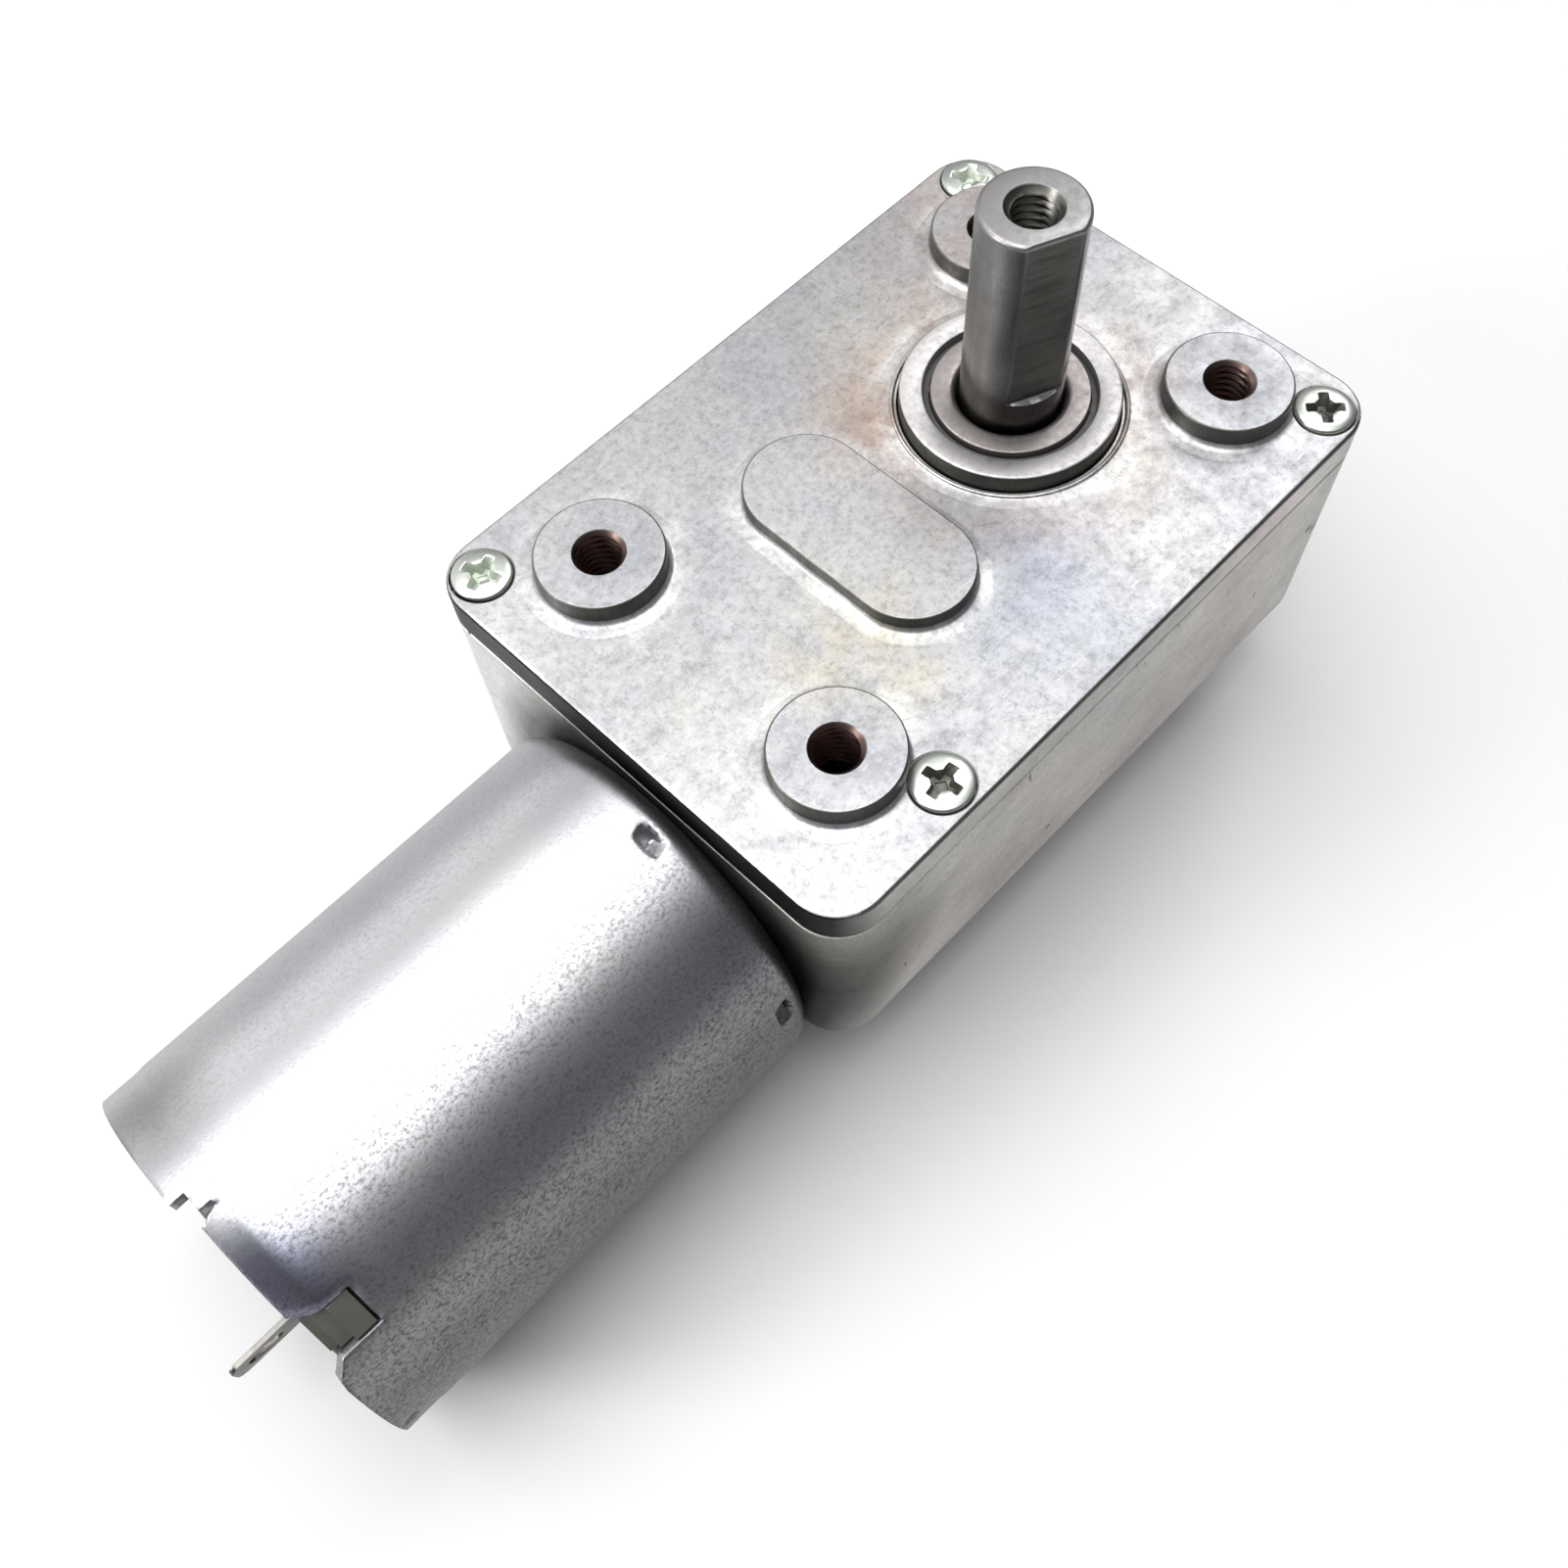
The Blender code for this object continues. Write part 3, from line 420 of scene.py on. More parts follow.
def span(tree, value, limits):
    """A value mapped between two ranges, given as (from low, from high, to low, to high)."""
    fade = tree.nodes.new("ShaderNodeMapRange")
    tree.links.new(value, fade.inputs["Value"])
    for name, limit in zip(("From Min", "From Max", "To Min", "To Max"), limits):
        fade.inputs[name].default_value = limit
    return fade.outputs["Result"]


def near(tree, coord, spot, inner, outer):
    """1 inside one distance of a spot on the gearbox and 0 past another, in millimetres."""
    gap = tree.nodes.new("ShaderNodeVectorMath")
    gap.operation = "DISTANCE"
    tree.links.new(coord, gap.inputs[0])
    gap.inputs[1].default_value = (Vector(spot) + SHIFT) * MM
    return span(tree, gap.outputs["Value"], (inner * MM, outer * MM, 1.0, 0.0))


def beyond(tree, coord, axis, full, none):
    """1 on one side of a plane across the gearbox, fading to 0 by another, in millimetres."""
    split = tree.nodes.new("ShaderNodeSeparateXYZ")
    tree.links.new(coord, split.inputs["Vector"])
    shift = SHIFT["XYZ".index(axis)]
    return span(tree, split.outputs[axis], ((none + shift) * MM, (full + shift) * MM, 0.0, 1.0))


def toned(tree, colour, mask, tone):
    """The colour, multiplied by a tone as far as the mask says."""
    return multiply(tree, colour, ramp(tree, mask, [(0.0, grey(1.0)), (1.0, tone)]))


def metal(name, light, dark, roughness, grain, brushed=None, metallic=1.0):
    """A plain worked metal: two tones, fine grain, and an optional brushed direction."""
    material, tree, shader = new_material(name)
    coord = position(tree)
    broad = noise(tree, coord, 160.0, 5.0)
    colour = ramp(tree, broad, [(0.3, dark), (0.7, light)])
    fine = noise(tree, coord, grain, 3.0, 0.7, stretch=brushed)
    tone = greys(tree, fine, (0.3, 0.72), (0.6, 1.0))
    colour = multiply(tree, colour, tone, 0.7)
    rough = greys(tree, fine, (0.3, roughness * 1.25), (0.7, roughness * 0.85))
    connect(tree, shader, colour, rough, metallic)
    bump(tree, shader, [(fine, 0.25, 0.02)])
    return material


def plastic(name, light, dark, roughness):
    """A moulded plastic: two close tones in clouds and a fine grain."""
    material, tree, shader = new_material(name)
    coord = position(tree)
    cloud = noise(tree, coord, 220.0, 4.0)
    colour = ramp(tree, cloud, [(0.35, dark), (0.65, light)])
    fine = noise(tree, coord, 2500.0, 2.0)
    rough = greys(tree, fine, (0.3, roughness * 0.9), (0.7, roughness * 1.15))
    connect(tree, shader, colour, rough, 0.0)
    bump(tree, shader, [(fine, 0.2, 0.02)])
    return material


# scratches: each direction in radians with a shift of its pattern, and the noise level cut at
SCRATCH_TURNS = ((0.5, 3.0), (-0.9, 7.0), (1.3, 11.0))
SCRATCH_CUT = 0.72


def scratches(tree, coord):
    """Thin short handling scratches in several directions, kept to scattered patches."""
    total = None
    for turn, offset in SCRATCH_TURNS:
        shift = tree.nodes.new("ShaderNodeMapping")
        shift.inputs["Location"].default_value = (offset, offset * 0.37, 0.0)
        tree.links.new(coord, shift.inputs["Vector"])
        fine = noise(tree, shift.outputs["Vector"], 1700.0, 1.0, 0.4, stretch=(0.22, 4.0, 0.22),
                     turn=(0.0, 0.0, turn))
        where = noise(tree, shift.outputs["Vector"], 190.0, 2.0, 0.5)
        line = greys(tree, fine, (SCRATCH_CUT, 0.0), (SCRATCH_CUT + 0.05, 1.0))
        mask = greys(tree, where, (0.56, 0.0), (0.68, 0.7))
        line = multiply(tree, line, mask)
        total = line if total is None else blend(tree, "LIGHTEN", 1.0, total, line)
    return total


# each toned patch on the cover: its middle, how far it is full, where it ends, and its tone; the
# last two lighten it near its -X corners
COVER_TONES = (
    ((7.5, 0.5, 0.0), 7.6, 12.5, (1.0, 0.86, 0.77)),
    ((0.8, 5.0, 0.0), 1.0, 5.0, (1.0, 0.86, 0.77)),
    ((1.8, -8.6, 0.0), 0.5, 6.0, (0.80, 0.83, 0.94)),
    ((17.0, -13.5, 0.0), 1.0, 8.0, (0.86, 0.86, 0.86)),
    ((-15.75, -9.0, BOSS_H), 3.0, 3.95, (0.80, 0.81, 0.83)),
    ((-15.75, 9.0, BOSS_H), 3.0, 3.95, (0.88, 0.88, 0.89)),
    ((17.25, -9.0, BOSS_H), 3.0, 3.95, (0.86, 0.86, 0.87)),
    ((17.25, 9.0, BOSS_H), 3.0, 3.95, (0.88, 0.88, 0.89)),
    ((17.5, 13.0, 0.0), 4.0, 9.0, (0.98, 0.87, 0.81)),
    ((6.0, 12.0, 0.0), 2.0, 12.0, (0.88, 0.88, 0.87)),
    ((-10.5, -5.5, 0.0), 1.0, 6.5, (1.0, 0.94, 0.78)),
    ((-19.5, 3.0, 0.0), 1.0, 6.0, (1.0, 0.97, 0.93)),
    ((-1.5, -11.5, 0.0), 1.0, 7.0, (0.92, 0.95, 1.0)),
    ((-21.0, -12.0, 0.0), 1.0, 8.0, (1.13, 1.14, 1.16)),
    ((-20.0, 9.0, 0.0), 1.0, 8.0, (1.10, 1.10, 1.11)),
)


def highlight_rings(tree, coord, colour):
    """Lighter rings round the feet of the raised features, broken up by noise: a painted highlight
    on their flares.
    """
    spots = [((x, y, 0.0), 4.25, 5.7) for x, y in BOSSES]
    spots.append(((OUT_X, 0.0, 0.0), 7.7, 9.0))
    for y, outer in ((PAD_Y, 5.3), (1.4, 5.1)):
        spots += [((PAD_X, side * y, 0.0), 4.15, outer) for side in (-1, 1)]
    broken = noise(tree, coord, 380.0, 4.0, 0.6)
    patchy = greys(tree, broken, (0.40, 0.0), (0.60, 1.0))
    total = None
    for spot, inner, outer in spots:
        mask = near(tree, coord, spot, inner, outer)
        total = mask if total is None else blend(tree, "LIGHTEN", 1.0, total, mask)
    mask = multiply(tree, total, patchy)
    mask = multiply(tree, mask, grey(0.72))
    return blend(tree, "MIX", mask, colour, (0.455, 0.452, 0.445))


def die_cast(name, with_painted_rings):
    """Satin zinc casting: cloudy tints, toned patches, gritty mottle, fine pits, a few handling
    scratches and optional painted highlight rings.
    """
    material, tree, shader = new_material(name)
    coord = position(tree)
    broad = noise(tree, coord, 75.0, 5.0, 0.62)
    colour = ramp(tree, broad, [(0.30, (0.236, 0.244, 0.258)), (0.46, (0.282, 0.282, 0.290)),
                                (0.58, (0.306, 0.305, 0.300)), (0.72, (0.335, 0.335, 0.344))])
    for index, (spot, inner, outer, tone) in enumerate(COVER_TONES):
        patchy = noise(tree, coord, 170.0 + 13.0 * index, 4.0, 0.6)
        mask = greys(tree, patchy, (0.38, 0.25), (0.62, 1.0))
        mask = multiply(tree, mask, near(tree, coord, spot, inner, outer))
        retoned = multiply(tree, colour, tone)
        colour = blend(tree, "MIX", mask, colour, retoned)
    # painted highlight: lighter rings round the feet of the bosses, pad and bearing seat
    if with_painted_rings:
        colour = highlight_rings(tree, coord, colour)
    mottle = noise(tree, coord, 620.0, 5.0, 0.65)
    spots = greys(tree, mottle, (0.32, 0.78), (0.46, 0.93), (0.60, 1.0), (0.74, 1.06))
    colour = multiply(tree, colour, spots, 0.8)
    fine = noise(tree, coord, 2600.0, 3.0, 0.8)
    grit = greys(tree, fine, (0.30, 0.58), (0.46, 0.88), (0.62, 1.08))
    colour = multiply(tree, colour, grit, 0.85)
    marks = scratches(tree, coord)
    colour = blend(tree, "MIX", marks, colour, (0.40, 0.40, 0.41))
    rough = greys(tree, mottle, (0.30, 0.52), (0.55, 0.41), (0.75, 0.36))
    connect(tree, shader, colour, rough, 0.85)
    bump(tree, shader, [(broad, 0.35, 0.25), (mottle, 0.30, 0.03), (fine, 0.40, 0.010),
                        (marks, 0.25, -0.01)])
    return material


# places on the side walls where light and shade are painted, in the same form as the cover's tones:
# painted light on the -X wall towards +Y, painted shade towards its -Y corner
WALL_LIGHT_AND_SHADE = (
    ((-HALF_X, 15.0, -8.0), 3.0, 9.0, (1.34, 1.34, 1.42)),
    ((-HALF_X, -14.5, -8.0), 3.0, 9.5, (0.55, 0.54, 0.52)),
    ((-22.4, -15.1, -9.0), 2.0, 8.5, (0.50, 0.49, 0.48)),
)


def cast_wall():
    """The casting's untouched sides: browner and rougher, drawn in streaks, with pits; painted
    shade round the motor, on the plate's -X end and by one corner, and painted light on the -X
    wall.
    """
    material, tree, shader = new_material("die_cast_side")
    coord = position(tree)
    broad = noise(tree, coord, 130.0, 5.0, 0.62, stretch=(0.8, 0.8, 1.2))
    colour = ramp(tree, broad, [(0.32, (0.43, 0.425, 0.415)), (0.50, (0.52, 0.513, 0.50)),
                                (0.66, (0.585, 0.575, 0.555))])
    tinge = noise(tree, coord, 60.0, 3.0, 0.5)
    tint = ramp(tree, tinge, [(0.40, (0.93, 0.95, 0.93)), (0.50, (1.0, 0.985, 0.955)),
                              (0.62, (1.0, 0.945, 0.935))])
    colour = multiply(tree, colour, tint, 0.9)
    # painted shade: the wall darkened in a ring round the motor can, where the can shades it
    shade_round_motor = near(tree, coord, (-HALF_X, MOTOR_Y, MOTOR_Z), 12.4, 15.2)
    colour = toned(tree, colour, shade_round_motor, grey(0.22))
    # painted light and painted shade on the walls
    for spot, inner, outer, tone in WALL_LIGHT_AND_SHADE:
        mask = near(tree, coord, spot, inner, outer)
        colour = blend(tree, "MIX", mask, colour, multiply(tree, colour, tone))
    # painted shade: the plate's side at its -X end, over the motor, darkened almost to black
    end = beyond(tree, coord, "X", -22.3, -19.6)
    plate = beyond(tree, coord, "Z", COVER_LOW, -2.7)
    colour = toned(tree, colour, multiply(tree, end, plate), grey(0.05))
    streak = noise(tree, coord, 800.0, 4.0, 0.65, stretch=(0.8, 0.8, 1.0))
    drawn = greys(tree, streak, (0.32, 0.82), (0.50, 0.96), (0.66, 1.0))
    colour = multiply(tree, colour, drawn, 0.5)
    fine = noise(tree, coord, 3200.0, 3.0, 0.75)
    grit = greys(tree, fine, (0.30, 0.60), (0.46, 0.92), (0.60, 1.0))
    colour = multiply(tree, colour, grit, 0.75)
    hollow = noise(tree, coord, 900.0, 2.0, 0.5, stretch=(1.0, 1.0, 0.5))
    pits = greys(tree, hollow, (0.24, 0.0), (0.29, 1.0))
    colour = multiply(tree, colour, pits, 0.75)
    rough = greys(tree, broad, (0.30, 0.58), (0.70, 0.44))
    connect(tree, shader, colour, rough, 1.0)
    bump(tree, shader, [(broad, 0.35, 0.20), (streak, 0.30, 0.02), (fine, 0.40, 0.012),
                        (pits, 0.7, 0.05)])
    return material


def plated_can():
    """Satin plated sheet steel with a fine dark salt-and-pepper grain, painted bluish shade on the
    bent tab and painted shade on its lower side.
    """
    material, tree, shader = new_material("plated_steel")
    coord = position(tree)
    broad = noise(tree, coord, 60.0, 3.0, 0.5)
    colour = ramp(tree, broad, [(0.35, (0.33, 0.335, 0.35)), (0.65, (0.40, 0.40, 0.405))])
    # painted shade, bluish, over the rear end of the bent tab
    a = math.radians(TAB_ANGLE + 7.0)
    tab = (-53.2, MOTOR_Y + 11.4 * math.cos(a), MOTOR_Z + 11.4 * math.sin(a))
    colour = toned(tree, colour, near(tree, coord, tab, 2.0, 4.6), (0.50, 0.50, 0.62))
    # painted shade: the can darker on its lower side
    painted_shade_below = beyond(tree, coord, "Z", -10.5, -5.5)
    colour = toned(tree, colour, painted_shade_below, (0.49, 0.47, 0.45))
    smudge = near(tree, coord, (-52.3, 3.3, -2.7), 0.5, 4.2)
    smudged = multiply(tree, colour, (0.60, 0.585, 0.55))
    colour = blend(tree, "MIX", smudge, colour, smudged)
    fine = noise(tree, coord, 5200.0, 3.0, 0.8, stretch=(0.8, 1.0, 1.0))
    pepper = greys(tree, fine, (0.38, 0.30), (0.49, 0.78), (0.60, 1.0))
    grain_weight_and_sheen = greys(tree, beyond(tree, coord, "Y", -8.0, 0.0), (0.0, 0.25), (1.0, 0.85))
    colour = multiply(tree, colour, pepper, grain_weight_and_sheen)
    patch = noise(tree, coord, 1500.0, 5.0, 0.8)
    stain = greys(tree, patch, (0.30, 0.58), (0.44, 1.0))
    colour = multiply(tree, colour, stain, grain_weight_and_sheen)
    rough = greys(tree, fine, (0.30, 0.48), (0.60, 0.33))
    connect(tree, shader, colour, rough, 1.0)
    bump(tree, shader, [(fine, 0.60, 0.012), (patch, 0.3, 0.02)])
    return material


# the way that the shaft's painted highlight stripe faces
HIGHLIGHT_SIDE = (-0.997, 0.07, 0.0)


def turned_steel():
    """Dark ground steel, drawn along the shaft with faint turning marks, painted shade at its foot
    and a painted highlight stripe.
    """
    material, tree, shader = new_material("shaft_steel")
    coord = position(tree)
    along = noise(tree, coord, 1100.0, 4.0, 0.7, stretch=(1.0, 1.0, 0.05))
    broad = noise(tree, coord, 260.0, 3.0, 0.6)
    around = noise(tree, coord, 2600.0, 2.0, 0.6, stretch=(0.1, 0.1, 1.0))
    colour = ramp(tree, broad, [(0.30, (0.150, 0.150, 0.147)), (0.70, (0.195, 0.195, 0.19))])
    lines = greys(tree, along, (0.30, 0.74), (0.48, 0.95), (0.62, 1.0))
    colour = multiply(tree, colour, lines, 0.45)
    # painted shade: the shaft darker towards its foot, above the bearing
    foot = beyond(tree, coord, "Z", 2.2, 5.5)
    colour = toned(tree, colour, foot, (0.46, 0.44, 0.42))
    normal = tree.nodes.new("ShaderNodeTexCoord").outputs["Normal"]
    # painted highlight: a bright stripe down one side of the shaft, with a darker band beside it
    side = facing(tree, HIGHLIGHT_SIDE, normal)
    grain_weight_and_sheen = greys(tree, side, (0.60, 0.72), (0.84, 0.50), (0.93, 0.80), (0.985, 1.25))
    colour = multiply(tree, colour, grain_weight_and_sheen)
    rings = greys(tree, around, (0.30, 0.84), (0.55, 1.0))
    colour = multiply(tree, colour, rings, 0.7)
    rough = greys(tree, along, (0.3, 0.34), (0.7, 0.22))
    connect(tree, shader, colour, rough, 1.0)
    bump(tree, shader, [(along, 0.25, 0.01), (around, 0.2, 0.004)])
    return material


def milled_flat():
    """The shaft's flat: darker, with slanting cutter marks."""
    material, tree, shader = new_material("shaft_flat_steel")
    coord = position(tree)
    broad = noise(tree, coord, 300.0, 3.0, 0.6)
    slant = noise(tree, coord, 1500.0, 4.0, 0.7, stretch=(0.12, 0.12, 1.0), turn=(0.0, 0.9, 0.0))
    cross = noise(tree, coord, 1300.0, 3.0, 0.7, stretch=(0.15, 0.15, 1.0), turn=(0.0, -0.5, 0.0))
    colour = ramp(tree, broad, [(0.30, (0.088, 0.088, 0.080)), (0.70, (0.125, 0.125, 0.116))])
    for marks, strength in ((slant, 0.85), (cross, 0.6)):
        lines = greys(tree, marks, (0.32, 0.60), (0.48, 0.92), (0.64, 1.0))
        colour = multiply(tree, colour, lines, strength)
    rough = greys(tree, slant, (0.3, 0.46), (0.7, 0.34))
    connect(tree, shader, colour, rough, 1.0)
    bump(tree, shader, [(slant, 0.35, 0.012), (cross, 0.25, 0.01)])
    return material


LOOKS = {
    "cast": die_cast("die_cast_zinc", True),
    "top": die_cast("die_cast_pad", False),
    "can": plated_can(),
    "wall": cast_wall(),
    # painted shade: a darker copy of the casting for the bosses' sides, the bore's lip, the -Y top
    # edge and the bearing's outer side
    "shaded_side": metal("die_cast_painted_shade", (0.15, 0.15, 0.14), (0.075, 0.073, 0.066), 0.42, 2600.0,
                   brushed=(1.0, 1.0, 0.35)),
    "shaft": turned_steel(),
    "flat": milled_flat(),
    "face": metal("shaft_end_steel", (0.245, 0.24, 0.238), (0.185, 0.18, 0.178), 0.40, 2200.0),
    # the tapped holes' own reddish brown, darkened further as painted shade
    "tapped": metal("reddish_thread_painted_shade", (0.15, 0.10, 0.088), (0.07, 0.046, 0.042), 0.36, 1500.0),
    "bore": metal("shaft_thread", (0.19, 0.187, 0.172), (0.085, 0.083, 0.074), 0.34, 1500.0),
    # painted shade in the screws' cross recesses; the pale one after it is a painted reflection
    # there
    "recess": metal("screw_recess_painted_shade", (0.115, 0.12, 0.10), (0.06, 0.064, 0.055), 0.50, 1500.0,
                    metallic=0.7),
    "pale_recess": metal("screw_recess_painted_reflection", (0.60, 0.64, 0.56), (0.40, 0.44, 0.38), 0.62,
                         1500.0),
    "screw": metal("zinc_plate", (0.40, 0.415, 0.39), (0.33, 0.345, 0.32), 0.34, 1800.0),
    "ring": metal("bearing_steel", (0.415, 0.405, 0.40), (0.34, 0.33, 0.326), 0.50, 2200.0),
    "inner": metal("bearing_inner_steel", (0.27, 0.25, 0.243), (0.20, 0.183, 0.178), 0.46, 2200.0),
    "gear": metal("gear_steel", (0.50, 0.50, 0.51), (0.36, 0.36, 0.37), 0.38, 800.0),
    "brass": metal("brass", (0.85, 0.66, 0.32), (0.62, 0.45, 0.20), 0.30, 800.0),
    # tinned brass darkened as painted shade
    "blade": metal("tinned_brass_painted_shade", (0.17, 0.165, 0.155), (0.065, 0.062, 0.056), 0.32, 1400.0),
    "bronze": metal("sintered_bronze", (0.50, 0.34, 0.18), (0.34, 0.22, 0.11), 0.55, 1800.0),
    "ferrite": metal("ferrite", (0.13, 0.13, 0.14), (0.07, 0.07, 0.08), 0.75, 1500.0, metallic=0.2),
    "core": metal("lamination", (0.45, 0.45, 0.47), (0.26, 0.26, 0.28), 0.45, 900.0,
                  brushed=(8.0, 0.2, 0.2)),
    "copper": metal("enamelled_copper", (0.78, 0.38, 0.18), (0.48, 0.20, 0.09), 0.32, 1200.0,
                    brushed=(0.1, 3.0, 3.0)),
    "carbon": plastic("carbon", (0.06, 0.06, 0.06), (0.03, 0.03, 0.03), 0.7),
    "cap": plastic("end_cap_nylon", (0.058, 0.059, 0.047), (0.036, 0.037, 0.030), 0.6),
    "pale": plastic("pale_nylon", (0.78, 0.76, 0.69), (0.66, 0.63, 0.55), 0.6),
    # painted shade for the groove between the bearing's races
    "groove_shade": plastic("groove_painted_shade", (0.030, 0.028, 0.028), (0.016, 0.015, 0.015), 0.6),
}


# -------- gearbox cover

def boss(x, y):
    """A raised round boss: tapped hole, crisp rim and a flared foot."""
    rings = thread(1.25, 0.16, BOSS_LOW, BOSS_H - 0.3)
    edge, foot, skirt = 0.16, 0.42, 1.25
    profile = [(1.50, BOSS_H - 0.05), (1.56, BOSS_H)]
    profile += arc(BOSS_R - edge, BOSS_H - edge, edge, 90, 4, 5)
    profile += arc(BOSS_R + foot + 0.04, foot + 0.04, foot, 184, 244, 6)
    profile += [(BOSS_R + 0.52, 0.05), (BOSS_R + 0.85, 0.01), (BOSS_R + skirt, -0.03),
                (BOSS_R + skirt, BOSS_LOW)]
    for r, z in profile:
        rings.append([(px, py, z) for px, py in circle(r, len(rings[0]))])
    return place(loft(rings, closed=True), x, y)


def flared(outline_at, top, radius, edge, foot):
    """A raised pad whose outline_at(radius) shrinks at its edge and flares at its foot."""
    skirt = radius + foot + 0.85
    profile = [(skirt, -1.0), (skirt, -0.03), (radius + foot + 0.45, 0.01)]
    profile += arc(radius + foot, foot + 0.03, foot, 246, 184, 6)
    profile += arc(radius - edge, top - edge, edge, 4, 90, 5)
    return loft([[(x, y, z) for x, y in outline_at(r)] for r, z in profile])


def box_rings(levels, narrowing):
    """Rounded rectangles of the gearbox's outline at each (height, inset)."""
    return [[(x, y, z) for x, y in rounded_box(HALF_X - inset, HALF_Y - inset,
                                               CORNER - inset * narrowing, 12)]
            for z, inset in levels]


def cover_tools():
    """Cutters for the screw seats, the bosses' feet and the bearing's bore."""
    seat = [(1.1, -4.0), (1.1, -1.0), (1.83, -1.0), (1.83, -0.10), (SCREW_SEAT, 0.0),
            (SCREW_SEAT, 1.0)]
    tools = [place(lathe(seat, 48, False, 0.03), x, y) for x, y in COVER_SCREWS]
    tools += [place(drill(2.6, -4.0, 1.0), x, y) for x, y in BOSSES]
    bore = [(5.9, -8.0), (5.9, -3.0), (BORE_R, -3.0), (BORE_R, 2.0)]
    return tools + [place(lathe(bore, 96, False, 0.01), OUT_X)]


def bearing_seat():
    """The raised collar round the bearing, low and flared."""
    profile = [(BORE_R, -4.4), (8.3, -4.4), (8.3, -0.5), (8.0, -0.03), (7.4, 0.03)]
    profile += arc(7.14, 0.20, 0.16, 262, 190, 5)
    profile += [(6.90, 0.20), (6.82, 0.16), (BORE_R, -0.25)]
    return place(lathe(profile, 96), OUT_X)


def in_boss(point):
    """Whether a point lies inside a boss's tapped hole."""
    return any(math.hypot(point.x - x, point.y - y) < 1.49 for x, y in BOSSES)


def cover():
    """The cast cover as one piece: plate, bosses, pad and bearing seat."""
    levels = ((COVER_LOW, 0.12), (-2.38, 0.0), (-0.24, 0.0), (-0.15, 0.02), (-0.07, 0.08),
              (-0.02, 0.16), (0.0, 0.25))
    plate = mesh_object("cover_shell", [loft(box_rings(levels, 1.0))])
    carve(plate, cover_tools())
    seats = [place(drill(SCREW_SEAT, -4.0, 0.6), x, y) for x, y in COVER_SCREWS]
    bosses = [carve(mesh_object(f"boss_{i + 1}", [boss(x, y)]), seats)
              for i, (x, y) in enumerate(BOSSES)]
    pad = flared(lambda r: obround(PAD_Y, r, PAD_X), PAD_TOP, PAD_R, 0.13, 0.36)
    raised = mesh_object("cover_details", [pad, bearing_seat()])
    joined = join("cover_casting", [plate, raised] + bosses)
    dress(joined, "cast", "case", ["gearbox_cover"], 28)
    repaint(joined, "wall", lambda c, n: c.z < -0.05 and abs(n.z) < 0.8)
    repaint(joined, "top", lambda c, n: c.z > 0.9)
    # painted shade on the bore's lip, the bosses' sides and the plate's -Y top edge
    repaint(joined, "shaded_side", lambda c, n: from_shaft(c) < 6.8 or (
        from_shaft(c) > 8.5 and 0.35 < c.z < BOSS_H + 0.1 and abs(n.z) < 0.95))
    repaint(joined, "shaded_side", lambda c, n: n.y < -0.3 and -0.2 < c.z < -0.03 and c.y < -15.6)
    repaint(joined, "tapped", lambda c, n: in_boss(c))


# -------- housing

def housing():
    """The cast box under the cover: hollow, drafted and rounded at its foot."""
    levels = ((-18.0, 0.60), (-17.94, 0.32), (-17.75, 0.12), (-17.45, 0.06), (-12.0, 0.045),
              (-6.0, 0.02), (-2.9, 0.0), (-2.76, 0.03), (-2.70, 0.14))
    shell = mesh_object("box_casting", [loft(box_rings(levels, 0.5))])
    inside = prism(rounded_box(20.5, 13.5, 1.0, 4), -16.8, 1.0)
    pilot = on_motor(along_x(drill(3.3, -25.0, -19.0, 48, 0.02)))
    carve(shell, [inside, pilot] + motor_screw_holes(-25.0, -19.0))
    dress(shell, "wall", "case", ["gearbox_housing"], 28)


# -------- screws

def cross_bar(width, half, top, depth, taper):
    """One bar of a cross recess, narrower at its floor."""
    outline = rounded_box(half, width, 0.07, 3)
    return loft([[(x * k, y * (0.75 + 0.25 * k), z) for x, y in outline]
                 for z, k in ((top - depth, taper), (top + 0.3, 1.12))])


# how far each cover screw was left turned, in radians, and which ones shine in the recess
SCREW_TURNS = (0.35, 0.15, 0.75, 0.5)
BRIGHT_SCREWS = (0, 3)


def screws():
    """Four cover screws with star-cut cross recesses."""
    profile = [(0.85, -9.0), (0.85, -0.8), (1.60, -0.8), (1.75, -0.7), (1.75, 0.02)]
    profile += arc(1.57, 0.02, 0.18, 0, 65, 4)
    profile += [(1.30, 0.255), (0.9, 0.285), (0.4, 0.298), (0.02, 0.30)]
    bar = cross_bar(0.31, 1.16, 0.30, 0.80, 0.62)
    star = lathe([(0.40, -0.60), (1.05, 0.6)], 4, False)
    for index, (x, y) in enumerate(COVER_SCREWS):
        head = mesh_object(f"cover_screw_head_{index + 1}",
                           [place(lathe(profile, 64, False), x, y)])
        turn = SCREW_TURNS[index]
        carve(head, [place(bar, x, y, spin=turn), place(bar, x, y, spin=turn + math.pi / 2),
                     place(star, x, y, spin=turn)])
        soften(head, 0.035, 40)
        dress(head, "screw", "case", [f"cover_screw_{index + 1}"], 40)
        # painted shade in the recess, and on the bright screws a painted reflection instead
        recess = "pale_recess" if index in BRIGHT_SCREWS else "recess"
        repaint(head, recess, lambda c, n: c.z < 0.24 and math.hypot(c.x - x, c.y - y) < 1.45)


# -------- output shaft and bearing

SHAFT_POINTS = 96


def shaft_ring(radius, z, flat=None):
    """A ring round the shaft, pulled in to a flat on its -Y side where there is one."""
    return [(x, y if flat is None else max(y, -flat), z)
            for x, y in circle(radius, SHAFT_POINTS)]


